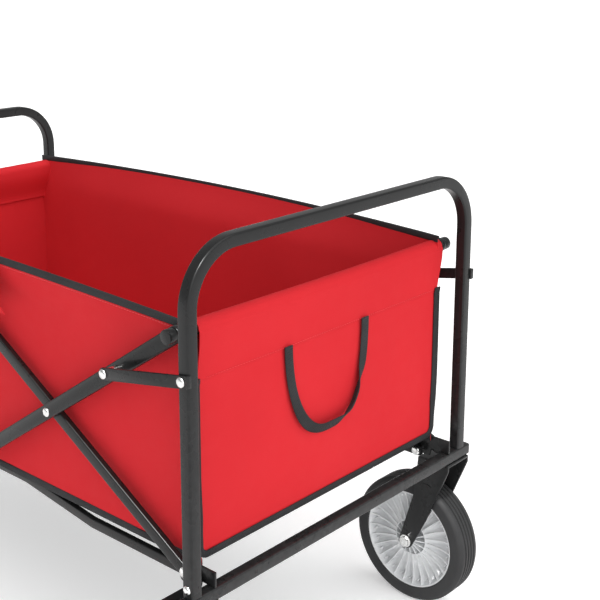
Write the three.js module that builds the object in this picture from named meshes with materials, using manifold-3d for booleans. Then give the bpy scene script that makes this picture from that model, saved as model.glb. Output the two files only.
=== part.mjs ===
// Folding garden wagon: two square-tube end frames joined by double scissor arms on each
// side, a fabric tub hung between two top rods, four wheels and a telescopic pull handle.
// Millimetres, +Z up, +X towards the pull handle, floor at z = 0.
import * as THREE from 'three';
import { mergeVertices } from 'three/addons/utils/BufferGeometryUtils.js';
import Module from 'manifold-3d';

// ---- driving dimensions ---------------------------------------------------------------
const GAP = 0.3; // running gap between neighbouring pieces

// end frames
const POST_X = 437.5; // post centre, from the middle of the wheelbase
const POST_Y = 246; // post centre, from the centre plane
const TUBE = 15; // square frame tube
const TUBE_CORNER = 3;
const BAIL_TOP = 620;
const BAIL_BEND = 64; // centre-line radius of the bail's corners
const CROSS_Z = 230; // cross bar centre height
const CROSS_HALF = 267;

// wheels
const WHEEL_R = 90;
const RIM_R = 70;
const TYRE_WIDTH = 40;
const HUB_WIDTH = 38;
const WHEEL_Y = 238.3;
const WHEEL_SIDES = 36;
const AXLE_R = 5;
const REAR_AXLE_IN = 57; // rear axle, inboard of the rear posts
const KINGPIN_IN = 15.5; // caster kingpin, inboard of the front posts
const CASTER_TRAIL = 40;
const CHEEK_IN = 21.5; // cheek's inner face from the wheel's middle
const SHEET = 3; // pressed steel sheet

// side arms: an inner and an outer layer of flat bars
const INNER_LAYER = [221.5, 229.5];
const OUTER_LAYER = [230, 238];
const INNER_HALF = 7.5; // half height of a bar
const OUTER_HALF = 8.2;
const PIVOT_IN = 30; // arm pivots, inboard of the posts
const LOW_PIVOT_Z = 246;
const ROD_Z = 517;
const ROD_R = 7;
const CENTRE_TOP_Z = 474.6;
const CENTRE_LOW_Z = 246.9;
const CROSS_IN = 251; // crossing rivet, inboard of the posts
const CROSSING_Z = 370.1;
const STAY_REACH = 109; // stay's pivot, along the falling arm from the rod
const STAY_POST_Z = 479.3;
const STAY_LAYER = [254, 257];
const STAY_HALF = 7;
const RIVET_R = 3;
const HEAD_R = 5.5;
const HEAD_H = 2.4;

// floor arms
const FLOOR_PIVOT_IN = 38;
const FLOOR_Z = 234;
const FLOOR_ARM = { height: 12, width: 8 };
const FLOOR_Y = { rear: 209, front: 197 };
const FLOOR_BEND = 19; // how far each floor arm bends towards the centre plane

// tub
const TUB_X = 419;
const TUB_Y = 216;
const TUB_LOW = 250;
const TUB_TOP = 526;
const TUB_WALL = 3;

// pull handle
const HANDLE_X = POST_X + 36.5;
const HANDLE_Z = 210;
const HANDLE_LEAN = THREE.MathUtils.degToRad(2.4);
const OUTER_TUBE = { r: 9, low: 16, top: 322 };
const INNER_TUBE = { r: 6.6, low: 30, top: 356 };
const GRIP = { low: 350, high: 430, halfWidth: 58, depth: 21, bar: 20 };
const EYE_R = 11;

// the origin is under the middle of the whole outline
const REAR_REACH = POST_X - REAR_AXLE_IN + WHEEL_R;
const FRONT_REACH = HANDLE_X + EYE_R;
const MIDDLE_X = (FRONT_REACH - REAR_REACH) / 2;

// ---- finishes -------------------------------------------------------------------------
const FINISH = {
  frame: { color: 0x2b2c2e, roughness: 0.42, metalness: 0.55 },
  zinc: { color: 0xd8d8d6, roughness: 0.28, metalness: 0.9 },
  fabric: { color: 0xd51f2a, roughness: 0.85, metalness: 0 },
  webbing: { color: 0x1c1c1e, roughness: 0.9, metalness: 0 },
  tyre: { color: 0x1f1f20, roughness: 0.8, metalness: 0 },
  rim: { color: 0xcfd1d2, roughness: 0.4, metalness: 0 },
  plastic: { color: 0x1a1a1b, roughness: 0.5, metalness: 0 },
};

// ---- solids ---------------------------------------------------------------------------
const wasm = await Module();
wasm.setup();

function signedVolume(position, index) {
  const a = new THREE.Vector3();
  const b = new THREE.Vector3();
  const c = new THREE.Vector3();
  let volume = 0;
  for (let i = 0; i < index.length; i += 3) {
    a.fromBufferAttribute(position, index[i]);
    b.fromBufferAttribute(position, index[i + 1]);
    c.fromBufferAttribute(position, index[i + 2]);
    volume += a.dot(b.cross(c)) / 6;
  }
  return volume;
}

function toSolid(source) {
  const bare = source.clone();
  bare.deleteAttribute('normal');
  bare.deleteAttribute('uv');
  const merged = mergeVertices(bare, 1e-3);
  const index = [];
  const all = merged.index.array;
  for (let i = 0; i < all.length; i += 3) {
    const [p, q, r] = [all[i], all[i + 1], all[i + 2]];
    if (p !== q && q !== r && r !== p) index.push(p, q, r);
  }
  if (signedVolume(merged.attributes.position, index) < 0) index.reverse();
  const mesh = new wasm.Mesh({
    numProp: 3,
    vertProperties: new Float32Array(merged.attributes.position.array),
    triVerts: new Uint32Array(index),
  });
  return new wasm.Manifold(mesh);
}

function toGeometry(solid) {
  const mesh = solid.getMesh();
  const geometry = new THREE.BufferGeometry();
  geometry.setAttribute('position', new THREE.BufferAttribute(mesh.vertProperties, 3));
  geometry.setIndex(new THREE.BufferAttribute(mesh.triVerts, 1));
  return geometry;
}

function build(added, removed = []) {
  let solid = added.map(toSolid).reduce((sum, next) => sum.add(next));
  for (const tool of removed) solid = solid.subtract(toSolid(tool));
  return toGeometry(solid);
}

function mirrored(geometry, x, y) {
  return toGeometry(toSolid(geometry.clone().scale(x, y, 1)));
}

// ---- primitive shapes in place --------------------------------------------------------
function block([x0, x1], [y0, y1], [z0, z1]) {
  const box = new THREE.BoxGeometry(x1 - x0, y1 - y0, z1 - z0);
  return box.translate((x0 + x1) / 2, (y0 + y1) / 2, (z0 + z1) / 2);
}

function pinY(radius, [y0, y1], x, z, sides = 12) {
  return new THREE.CylinderGeometry(radius, radius, y1 - y0, sides).translate(x, (y0 + y1) / 2, z);
}

function pinZ(radius, [z0, z1], x, y, sides = 16) {
  const pin = new THREE.CylinderGeometry(radius, radius, z1 - z0, sides);
  return pin.rotateX(Math.PI / 2).translate(x, y, (z0 + z1) / 2);
}

function domeY(radius, height, base, x, z, direction = 1) {
  const profile = [[0, 0], [1, 0], [0.8, 0.65], [0, 1]];
  const points = profile.map(([r, h]) => new THREE.Vector2(r * radius, h * height));
  return new THREE.LatheGeometry(points, 10).scale(1, direction, 1).translate(x, base, z);
}

// a flat outline in the XZ plane, given thickness along Y
function plateY(shape, [y0, y1], curveSegments = 6) {
  const options = { depth: y1 - y0, bevelEnabled: false, curveSegments };
  return new THREE.ExtrudeGeometry(shape, options).rotateX(Math.PI / 2).translate(0, y1, 0);
}

function hole(x, z, radius) {
  return new THREE.Path().absarc(x, z, radius, 0, 2 * Math.PI, true);
}

function capsule(a, b, radiusA, radiusB = radiusA) {
  const angle = Math.atan2(b.z - a.z, b.x - a.x);
  const quarter = Math.PI / 2;
  const shape = new THREE.Shape();
  shape.absarc(b.x, b.z, radiusB, angle - quarter, angle + quarter, false);
  shape.absarc(a.x, a.z, radiusA, angle + quarter, angle + 3 * quarter, false);
  return shape;
}

function roundedSquare(side, corner) {
  const h = side / 2;
  const c = h - corner;
  const shape = new THREE.Shape();
  for (let i = 0; i < 4; i += 1) {
    const turn = (i * Math.PI) / 2;
    const [x, y] = [[c, c], [-c, c], [-c, -c], [c, -c]][i];
    shape.absarc(x, y, corner, turn, turn + Math.PI / 2, false);
  }
  return shape;
}

// a path through given stations: one extrusion step from each station to the next
class StationPath extends THREE.Curve {
  constructor(stations) {
    super();
    this.stations = stations;
  }

  getUtoTmapping(u) {
    return u;
  }

  getPoint(t, target = new THREE.Vector3()) {
    const along = t * (this.stations.length - 1);
    const step = Math.min(Math.floor(along), this.stations.length - 2);
    return target.lerpVectors(this.stations[step], this.stations[step + 1], along - step);
  }
}

function sweep(section, stations, curveSegments = 1) {
  const extrudePath = new StationPath(stations);
  return new THREE.ExtrudeGeometry(section, { steps: stations.length - 1, extrudePath, curveSegments });
}

// ---- end frames -----------------------------------------------------------------------
function bail() {
  const top = BAIL_TOP - TUBE / 2;
  const foot = CROSS_Z + TUBE / 2 + GAP;
  const bendSteps = 6;
  const stations = [new THREE.Vector3(-POST_X, -POST_Y, foot)];
  for (const side of [-1, 1]) {
    for (let i = 0; i <= bendSteps; i += 1) {
      const angle = ((side < 0 ? i : bendSteps - i) / bendSteps) * (Math.PI / 2);
      const y = side * (POST_Y - BAIL_BEND + BAIL_BEND * Math.cos(angle));
      stations.push(new THREE.Vector3(-POST_X, y, top - BAIL_BEND + BAIL_BEND * Math.sin(angle)));
    }
  }
  stations.push(new THREE.Vector3(-POST_X, POST_Y, foot));
  const tube = sweep(roundedSquare(TUBE, TUBE_CORNER), stations);
  const bolts = [-1, 1].map((side) => {
    const span = [side * POST_Y - TUBE, side * POST_Y + TUBE];
    return pinY(RIVET_R + GAP, span, -POST_X, LOW_PIVOT_Z + 2);
  });
  return build([tube], bolts);
}

function crossBar(x) {
  const section = roundedSquare(TUBE, TUBE_CORNER);
  const bar = new THREE.ExtrudeGeometry(section, { depth: 2 * CROSS_HALF, bevelEnabled: false, curveSegments: 1 });
  return bar.rotateX(Math.PI / 2).translate(x, CROSS_HALF, CROSS_Z);
}

const KINGPIN = { r: 5.5, housing: 11, low: 209, high: 237, top: 233.5 };

function frontCrossBar() {
  const x = POST_X - KINGPIN_IN;
  const housings = [];
  const bores = [];
  for (const y of [-WHEEL_Y, WHEEL_Y]) {
    housings.push(pinZ(KINGPIN.housing, [KINGPIN.low + GAP, KINGPIN.high], x, y));
    bores.push(pinZ(KINGPIN.r + GAP, [KINGPIN.low - 1, KINGPIN.top + GAP], x, y));
  }
  return build([crossBar(POST_X), ...housings], bores);
}

// channel bracket at the foot of a post: carries the arm's pivot, the floor arm's pivot
// and the bolt through the post (rear left; the others are mirrored)
function pivotBracket(armLayer, floorY) {
  const faceIn = POST_Y - TUBE / 2 - GAP;
  const plate = [217, 220];
  const low = CROSS_Z + TUBE / 2 + 0.5;
  const high = low + 18;
  const wall = 2.5;
  const postBack = -POST_X - 7;
  const armX = -POST_X + PIVOT_IN;
  const floorX = -POST_X + FLOOR_PIVOT_IN;
  const channel = block([postBack, -POST_X + 7], [plate[0], faceIn], [low, high]);
  const hollow = block([postBack - 1, -POST_X + 4], [plate[0] + wall, faceIn - wall], [low + wall, high - wall]);
  const cheek = block([postBack, floorX + 9], plate, [low, high]);
  const ear = block([armX - 9, floorX + 9], plate, [FLOOR_Z - 7, low + 1]);
  const pin = pinY(RIVET_R + 0.2, [plate[0] + 1, armLayer[1] + 1.3], armX, LOW_PIVOT_Z);
  const pinHead = domeY(6.5, HEAD_H, armLayer[1] + GAP, armX, LOW_PIVOT_Z);
  const floorPin = pinY(RIVET_R + 0.2, [floorY - 5.3, plate[0] + 1], floorX, FLOOR_Z);
  const floorHead = domeY(6, HEAD_H, floorY - 4 - GAP, floorX, FLOOR_Z, -1);
  const bolt = pinY(RIVET_R, [faceIn - wall, POST_Y + TUBE / 2 + 1], -POST_X, LOW_PIVOT_Z + 2);
  const boltHead = domeY(5, 3, POST_Y + TUBE / 2 + GAP, -POST_X, LOW_PIVOT_Z + 2);
  const open = build([channel], [hollow]);
  return build([open, cheek, ear, pin, pinHead, floorPin, floorHead, bolt, boltHead]);
}

// ---- forks and wheels -----------------------------------------------------------------
// one cheek outline: top edge from x0 to x1, legs running down to a round axle eye
function cheekShape({ top, x0, x1, rearKnee, frontKnee, axleX }) {
  const eye = 11;
  const shape = new THREE.Shape();
  shape.moveTo(x0, top);
  shape.lineTo(x0, top - 10);
  shape.lineTo(rearKnee.x, rearKnee.z);
  shape.absarc(axleX, WHEEL_R, eye, Math.PI * 1.12, Math.PI * 2.05, false);
  shape.lineTo(frontKnee.x, frontKnee.z);
  shape.lineTo(x1, top);
  shape.holes.push(hole(axleX, WHEEL_R, AXLE_R + GAP));
  return shape;
}

function fork(outline, crownHeight, extra = []) {
  const shape = cheekShape(outline);
  const cheeks = [
    [WHEEL_Y - CHEEK_IN - SHEET, WHEEL_Y - CHEEK_IN],
    [WHEEL_Y + CHEEK_IN, WHEEL_Y + CHEEK_IN + SHEET],
  ].map((span) => plateY(shape, span));
  const across = [WHEEL_Y - CHEEK_IN - 1, WHEEL_Y + CHEEK_IN + 1];
  const crown = block([outline.x0, outline.x1], across, [outline.top - crownHeight, outline.top]);
  return build([...cheeks, crown, ...extra]);
}

function rearFork() {
  const x = (inboard) => -POST_X + inboard;
  return fork({
    top: CROSS_Z - TUBE / 2 - GAP,
    x0: x(-9),
    x1: x(40),
    rearKnee: { x: x(17.5), z: 150 },
    frontKnee: { x: x(46), z: 165 },
    axleX: x(REAR_AXLE_IN),
  }, 7);
}

function casterFork() {
  const pinX = POST_X - KINGPIN_IN;
  const axleX = pinX - CASTER_TRAIL;
  const race = pinZ(14, [202, KINGPIN.low - GAP], pinX, WHEEL_Y);
  const pin = pinZ(KINGPIN.r, [202, KINGPIN.top], pinX, WHEEL_Y);
  const shape = {
    top: 203,
    x0: -pinX - 18,
    x1: -pinX + 20,
    rearKnee: { x: -pinX + 4, z: 150 },
    frontKnee: { x: -pinX + 32, z: 160 },
    axleX: -axleX,
  };
  const frontward = mirrored(fork(shape, 7), -1, 1);
  return build([frontward, race, pin]);
}

function axleBolt(x) {
  const outside = CHEEK_IN + SHEET;
  const shaft = pinY(AXLE_R, [WHEEL_Y - outside - 1, WHEEL_Y + outside + 1], x, WHEEL_R);
  const head = pinY(8.5, [WHEEL_Y - outside - 6, WHEEL_Y - outside - GAP], x, WHEEL_R, 6);
  const nut = pinY(8.5, [WHEEL_Y + outside + GAP, WHEEL_Y + outside + 5], x, WHEEL_R, 6);
  return build([shaft, head, nut]);
}

// a ring turned about the wheel's axis from a closed half profile
function turned(profile, x) {
  const points = profile.map(([r, y]) => new THREE.Vector2(r, y));
  points.push(points[0].clone());
  const ring = new THREE.LatheGeometry(points, WHEEL_SIDES);
  return ring.rotateY(Math.PI / WHEEL_SIDES).translate(x, WHEEL_Y, WHEEL_R);
}

function tyre(x) {
  const r = WHEEL_R / Math.cos(Math.PI / WHEEL_SIDES); // flats touch the floor
  const h = TYRE_WIDTH / 2;
  return build([turned([[RIM_R, -h], [r - 4, -h], [r, 3.5 - h], [r, h - 3.5], [r - 4, h], [RIM_R, h]], x)]);
}

function rim(x) {
  const outer = (RIM_R - GAP) * Math.cos(Math.PI / WHEEL_SIDES);
  const hub = HUB_WIDTH / 2;
  const bore = AXLE_R + GAP + 0.2;
  return build([turned([
    [bore, -hub], [17, -hub], [20, -9], [60, -9], [outer, -16],
    [outer, 16], [60, 9], [20, 9], [17, hub], [bore, hub],
  ], x)]);
}

// ---- side arms ------------------------------------------------------------------------
const PIVOT_X = POST_X - PIVOT_IN;
const LOW_PIVOT = { x: -PIVOT_X, z: LOW_PIVOT_Z };
const ROD_AT = { x: -PIVOT_X, z: ROD_Z };
const CROSSING = { x: -(POST_X - CROSS_IN), z: CROSSING_Z };
const CENTRE_TOP = { x: 0, z: CENTRE_TOP_Z };
const CENTRE_LOW = { x: 0, z: CENTRE_LOW_Z };
const FALL = Math.atan2(ROD_Z - CENTRE_LOW_Z, PIVOT_X);
const STAY_AT = {
  x: ROD_AT.x + STAY_REACH * Math.cos(FALL),
  z: ROD_AT.z - STAY_REACH * Math.sin(FALL),
};

// rivet fast in a bar: a shank from the bar's face through the next layer, and two heads
function rivet(at, [y0, y1], shank = RIVET_R, heads = [true, true]) {
  const parts = [pinY(shank, [y0 - 1, y1 + 1], at.x, at.z)];
  if (heads[0]) parts.push(domeY(HEAD_R, HEAD_H, y0, at.x, at.z, -1));
  if (heads[1]) parts.push(domeY(HEAD_R, HEAD_H, y1, at.x, at.z));
  return parts;
}

// arm rising from the low pivot to the centre top
function risingArm(layer, half, inner) {
  const shape = capsule(LOW_PIVOT, CENTRE_TOP, half);
  shape.holes.push(hole(LOW_PIVOT.x, LOW_PIVOT.z, RIVET_R + 0.5));
  const parts = [];
  if (inner) {
    shape.holes.push(hole(CROSSING.x, CROSSING.z, RIVET_R + GAP));
    parts.push(...rivet(CENTRE_TOP, [layer[0], OUTER_LAYER[1] + GAP]));
  } else {
    shape.holes.push(hole(CENTRE_TOP.x, CENTRE_TOP.z, RIVET_R + GAP));
    parts.push(...rivet(CROSSING, [INNER_LAYER[0] - GAP, layer[1]]));
  }
  return build([plateY(shape, layer), ...parts]);
}

// arm falling from the top rod to the centre low pivot
function fallingArm(layer, half, inner) {
  const shape = capsule(ROD_AT, CENTRE_LOW, 11, half + (inner ? 1.5 : 0));
  shape.holes.push(hole(ROD_AT.x, ROD_AT.z, ROD_R + 0.4));
  const spacer = pinY(6, [layer[1] - 1, STAY_LAYER[0] - GAP], STAY_AT.x, STAY_AT.z);
  const parts = [spacer, ...rivet(STAY_AT, [layer[1], STAY_LAYER[1] + GAP], RIVET_R, [false, true])];
  if (inner) {
    shape.holes.push(hole(CROSSING.x, CROSSING.z, RIVET_R + GAP));
    shape.holes.push(hole(CENTRE_LOW.x, CENTRE_LOW.z, 5.8));
  } else {
    parts.push(...rivet(CROSSING, [INNER_LAYER[0] - GAP, layer[1]]));
    parts.push(...rivet(CENTRE_LOW, [INNER_LAYER[0] - GAP, layer[1]], 2.6, [false, true]));
    parts.push(pinY(8, [INNER_LAYER[0] - 2.3, INNER_LAYER[0] - GAP], CENTRE_LOW.x, CENTRE_LOW.z));
  }
  return build([plateY(shape, layer), ...parts]);
}

// short stay from the falling arm to the outside of the post
function stay() {
  const end = { x: -POST_X, z: STAY_POST_Z };
  const angle = Math.atan2(end.z - STAY_AT.z, end.x - STAY_AT.x);
  const quarter = Math.PI / 2;
  const shape = new THREE.Shape();
  shape.absarc(STAY_AT.x, STAY_AT.z, STAY_HALF, angle + quarter, angle + 3 * quarter, false);
  for (const side of [-1, 1]) {
    const along = 8;
    shape.lineTo(
      end.x + along * Math.cos(angle) + side * STAY_HALF * Math.cos(angle + quarter),
      end.z + along * Math.sin(angle) + side * STAY_HALF * Math.sin(angle + quarter),
    );
  }
  shape.holes.push(hole(STAY_AT.x, STAY_AT.z, RIVET_R + GAP));
  const head = domeY(HEAD_R, HEAD_H, STAY_LAYER[1], end.x, end.z);
  return build([plateY(shape, STAY_LAYER), head]);
}

function topRod() {
  const end = OUTER_LAYER[1] + 2.5;
  const caps = [-1, 1].map((side) => {
    const span = side < 0 ? [-end, -end + 2] : [end - 2, end];
    return pinY(ROD_R + 2.5, span, ROD_AT.x, ROD_AT.z, 16);
  });
  return build([pinY(ROD_R, [-end + 0.5, end - 0.5], ROD_AT.x, ROD_AT.z, 16), ...caps]);
}

// ---- floor arms -----------------------------------------------------------------------
function floorArm(y, rivetOut) {
  const half = FLOOR_ARM.width / 2;
  const route = [
    [-POST_X + FLOOR_PIVOT_IN - 7, y],
    [-230, y],
    [-75, y - FLOOR_BEND],
    [8, y - FLOOR_BEND],
  ];
  const outline = [...route.map(([x, c]) => [x, c - half]), ...route.map(([x, c]) => [x, c + half]).reverse()];
  const shape = new THREE.Shape(outline.map(([x, c]) => new THREE.Vector2(x, c)));
  const bar = new THREE.ExtrudeGeometry(shape, { depth: FLOOR_ARM.height, bevelEnabled: false });
  bar.translate(0, 0, FLOOR_Z - FLOOR_ARM.height / 2);
  const eye = pinY(RIVET_R + 0.5, [y - 10, y + 10], -POST_X + FLOOR_PIVOT_IN, FLOOR_Z);
  const tipY = y - FLOOR_BEND;
  const end = rivetOut ? [tipY - half - 1.5, tipY + half] : [tipY - half, tipY - half + 1];
  const parts = rivetOut
    ? rivet({ x: 0, z: FLOOR_Z }, end, RIVET_R, [false, true])
    : rivet({ x: 0, z: FLOOR_Z }, end, RIVET_R, [true, false]);
  return build([bar, ...parts], [eye]);
}

// ---- tub ------------------------------------------------------------------------------
function tub() {
  const outer = block([-TUB_X, TUB_X], [-TUB_Y, TUB_Y], [TUB_LOW, TUB_TOP]);
  const inX = TUB_X - TUB_WALL;
  const inY = TUB_Y - TUB_WALL;
  const inside = block([-inX, inX], [-inY, inY], [TUB_LOW + TUB_WALL, TUB_TOP + 1]);
  const notches = [-1, 1].map((end) => {
    const x = end * PIVOT_X;
    return block([x - ROD_R - 2, x + ROD_R + 2], [-TUB_Y - 1, TUB_Y + 1], [ROD_Z - ROD_R - 2, TUB_TOP + 1]);
  });
  return build([outer], [inside, ...notches]);
}

function floorMat() {
  const base = TUB_LOW + TUB_WALL + GAP;
  const panels = 4;
  const halfX = TUB_X - TUB_WALL - 4;
  const halfY = TUB_Y - TUB_WALL - 4;
  const mat = block([-halfX, halfX], [-halfY, halfY], [base, base + 8]);
  const creases = [];
  for (let i = 1; i < panels; i += 1) {
    const x = -halfX + (2 * halfX * i) / panels;
    creases.push(block([x - 2, x + 2], [-halfY - 1, halfY + 1], [base + 3, base + 9]));
  }
  return build([mat], creases);
}

// webbing carry loop lying on the outside of the end panel
function strapHandle() {
  const width = 11;
  const drop = 92;
  const halfSpan = 69;
  const top = 462;
  const steps = 12;
  const route = [];
  for (let i = 0; i <= steps; i += 1) {
    const angle = Math.PI + (Math.PI * i) / steps;
    route.push(new THREE.Vector2(halfSpan * Math.cos(angle), top - 22 + (drop) * Math.sin(angle)));
  }
  route.unshift(new THREE.Vector2(-halfSpan, top));
  route.push(new THREE.Vector2(halfSpan, top));
  const outer = route.map((p) => new THREE.Vector2(p.x * (1 + width / 2 / halfSpan), p.y - (p.y < top ? width / 2 : 0)));
  const inner = route.map((p) => new THREE.Vector2(p.x * (1 - width / 2 / halfSpan), p.y + (p.y < top ? width / 2 : 0)));
  const shape = new THREE.Shape([...outer, ...inner.reverse()]);
  const strap = new THREE.ExtrudeGeometry(shape, { depth: 2, bevelEnabled: false });
  return build([strap.rotateX(Math.PI / 2).rotateZ(Math.PI / 2).translate(-TUB_X - 2 - GAP, 0, 0)]);
}

// fabric flap over the centre top pivot
function flap() {
  const low = 484;
  return block([-112, 112], [243, 245], [low, TUB_TOP + 10]);
}

// ---- pull handle ----------------------------------------------------------------------
// drawn upright over the pivot at the origin, then leant back and moved into place
function leant(geometry) {
  return geometry.rotateY(-HANDLE_LEAN).translate(HANDLE_X, 0, HANDLE_Z);
}

function handleBracket() {
  const face = POST_X + TUBE / 2 + GAP;
  const base = block([face, face + SHEET], [-19, 19], [CROSS_Z - 30, CROSS_Z + 8]);
  const shape = new THREE.Shape();
  shape.moveTo(face + 1, CROSS_Z - 30);
  shape.lineTo(HANDLE_X - 2, HANDLE_Z - 10);
  shape.absarc(HANDLE_X, HANDLE_Z, 10, -Math.PI / 2, Math.PI / 2, false);
  shape.lineTo(face + 1, CROSS_Z + 8);
  shape.holes.push(hole(HANDLE_X, HANDLE_Z, 4 + GAP));
  const ears = [[-16, -13], [13, 16]].map((span) => plateY(shape, span));
  return build([base, ...ears]);
}

function handleBolt() {
  const parts = [pinY(4, [-17, 17], HANDLE_X, HANDLE_Z)];
  parts.push(domeY(7, 4, 16 + GAP, HANDLE_X, HANDLE_Z));
  parts.push(pinY(7, [-21, -16 - GAP], HANDLE_X, HANDLE_Z, 6));
  return build(parts);
}

function handleOuterTube() {
  const tube = pinZ(OUTER_TUBE.r, [OUTER_TUBE.low, OUTER_TUBE.top], 0, 0);
  const eye = pinY(EYE_R, [-12, 12], 0, 0, 20);
  const neck = pinZ(OUTER_TUBE.r, [0, OUTER_TUBE.low + 1], 0, 0);
  const cavity = pinZ(INNER_TUBE.r + 0.6, [INNER_TUBE.low - 4, OUTER_TUBE.top + 1], 0, 0);
  const bore = pinY(4 + GAP, [-13, 13], 0, 0);
  const slot = block([4, 12], [-5.5, 5.5], [OUTER_TUBE.top - 28.5, OUTER_TUBE.top - 11.5]);
  return leant(build([tube, eye, neck], [cavity, bore, slot]));
}

function handleCollar() {
  const low = OUTER_TUBE.top - 34;
  const outer = pinZ(13, [low, OUTER_TUBE.top + 6], 0, 0, 20);
  const bore = pinZ(OUTER_TUBE.r + GAP, [low - 1, OUTER_TUBE.top + GAP], 0, 0, 20);
  const neck = pinZ(INNER_TUBE.r + 0.6, [OUTER_TUBE.top - 1, OUTER_TUBE.top + 7], 0, 0, 20);
  const window = block([5, 14], [-5.5, 5.5], [OUTER_TUBE.top - 28.5, OUTER_TUBE.top - 11.5]);
  return leant(build([outer], [bore, neck, window]));
}

function handleButton() {
  const z = OUTER_TUBE.top - 20;
  const cap = new THREE.CylinderGeometry(5, 5, 4.6, 20).rotateZ(Math.PI / 2).translate(13.1, 0, z);
  return leant(build([cap]));
}

function handleInnerTube() {
  return leant(build([pinZ(INNER_TUBE.r, [INNER_TUBE.low, INNER_TUBE.top], 0, 0)]));
}

function gripRing(halfWidth, low, high, corner) {
  const path = new THREE.Shape();
  const [left, right] = [-halfWidth + corner, halfWidth - corner];
  path.absarc(right, high - corner, corner, 0, Math.PI / 2, false);
  path.absarc(left, high - corner, corner, Math.PI / 2, Math.PI, false);
  path.absarc(left, low + corner, corner, Math.PI, 1.5 * Math.PI, false);
  path.absarc(right, low + corner, corner, 1.5 * Math.PI, 2 * Math.PI, false);
  return path;
}

function handleGrip() {
  const ring = gripRing(GRIP.halfWidth, GRIP.low + 8, GRIP.high, 26);
  ring.holes.push(gripRing(GRIP.halfWidth - GRIP.bar, GRIP.low + 8 + GRIP.bar, GRIP.high - GRIP.bar, 13));
  const body = new THREE.ExtrudeGeometry(ring, {
    depth: GRIP.depth - 6, bevelEnabled: true, bevelThickness: 3, bevelSize: 3, bevelOffset: -3,
    bevelSegments: 1, curveSegments: 2,
  });
  body.rotateX(Math.PI / 2).rotateZ(Math.PI / 2).translate(-GRIP.depth / 2 + 3, 0, 0);
  const socket = pinZ(11, [OUTER_TUBE.top + 6 + GAP, GRIP.low + 16], 0, 0, 20);
  const bore = pinZ(INNER_TUBE.r + GAP, [OUTER_TUBE.top, INNER_TUBE.top + GAP], 0, 0, 20);
  return leant(build([body, socket], [bore]));
}

// ---- assembly -------------------------------------------------------------------------
const wagon = new THREE.Group();
wagon.position.x = -MIDDLE_X;

function place(name, geometry, finish) {
  const mesh = new THREE.Mesh(geometry, new THREE.MeshStandardMaterial(FINISH[finish]));
  mesh.name = name;
  wagon.add(mesh);
}

// the same piece on both sides: built on the left (+Y), mirrored to the right
function placePair(name, geometry, finish) {
  place(`${name}_left`, geometry, finish);
  place(`${name}_right`, mirrored(geometry, 1, -1), finish);
}

const toFront = (geometry) => mirrored(geometry, -1, 1);

place('rear_bail', bail(), 'frame');
place('front_bail', toFront(bail()), 'frame');
place('rear_cross_bar', build([crossBar(-POST_X)]), 'frame');
place('front_cross_bar', frontCrossBar(), 'frame');
placePair('rear_bracket', pivotBracket(INNER_LAYER, FLOOR_Y.rear), 'frame');
placePair('front_bracket', toFront(pivotBracket(OUTER_LAYER, FLOOR_Y.front)), 'frame');

const rearAxleX = -POST_X + REAR_AXLE_IN;
const casterAxleX = POST_X - KINGPIN_IN - CASTER_TRAIL;
placePair('rear_fork', rearFork(), 'frame');
placePair('caster_fork', casterFork(), 'frame');
for (const [group, x] of [['rear', rearAxleX], ['caster', casterAxleX]]) {
  placePair(`${group}_axle_bolt`, axleBolt(x), 'zinc');
  placePair(`${group}_tyre`, tyre(x), 'tyre');
  placePair(`${group}_rim`, rim(x), 'rim');
}

placePair('rear_rising_arm', risingArm(INNER_LAYER, INNER_HALF, true), 'frame');
placePair('rear_falling_arm', fallingArm(OUTER_LAYER, OUTER_HALF, false), 'frame');
placePair('front_rising_arm', toFront(risingArm(OUTER_LAYER, OUTER_HALF, false)), 'frame');
placePair('front_falling_arm', toFront(fallingArm(INNER_LAYER, INNER_HALF, true)), 'frame');
placePair('rear_stay', stay(), 'frame');
placePair('front_stay', toFront(stay()), 'frame');
place('rear_top_rod', topRod(), 'frame');
place('front_top_rod', toFront(topRod()), 'frame');
placePair('rear_floor_arm', floorArm(FLOOR_Y.rear, true), 'frame');
placePair('front_floor_arm', toFront(floorArm(FLOOR_Y.front, false)), 'frame');

place('tub_fabric', tub(), 'fabric');
place('floor_mat', floorMat(), 'fabric');
placePair('side_flap', build([flap()]), 'fabric');
place('rear_strap_handle', strapHandle(), 'webbing');
place('front_strap_handle', toFront(strapHandle()), 'webbing');

place('handle_bracket', handleBracket(), 'frame');
place('handle_bolt', handleBolt(), 'zinc');
place('handle_outer_tube', handleOuterTube(), 'frame');
place('handle_collar', handleCollar(), 'plastic');
place('handle_button', handleButton(), 'plastic');
place('handle_inner_tube', handleInnerTube(), 'frame');
place('handle_grip', handleGrip(), 'plastic');

export default wagon;
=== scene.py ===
"""Folding garden wagon: the visible model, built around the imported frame.

Sizes are in metres in the frame's own axes: +X towards the pull handle, +Y to the
left side, +Z up, floor at z = 0. Most places are given as a distance inboard of the
posts, which stand at the two ends, so that one method builds both ends and both sides.
"""

import logging
import math
from contextlib import contextmanager
from dataclasses import dataclass, field
from enum import Enum
from typing import Any, Callable, ClassVar, Iterable, Iterator, Optional, Sequence

import bmesh
import bpy
from mathutils import Matrix, Vector, noise


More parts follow.
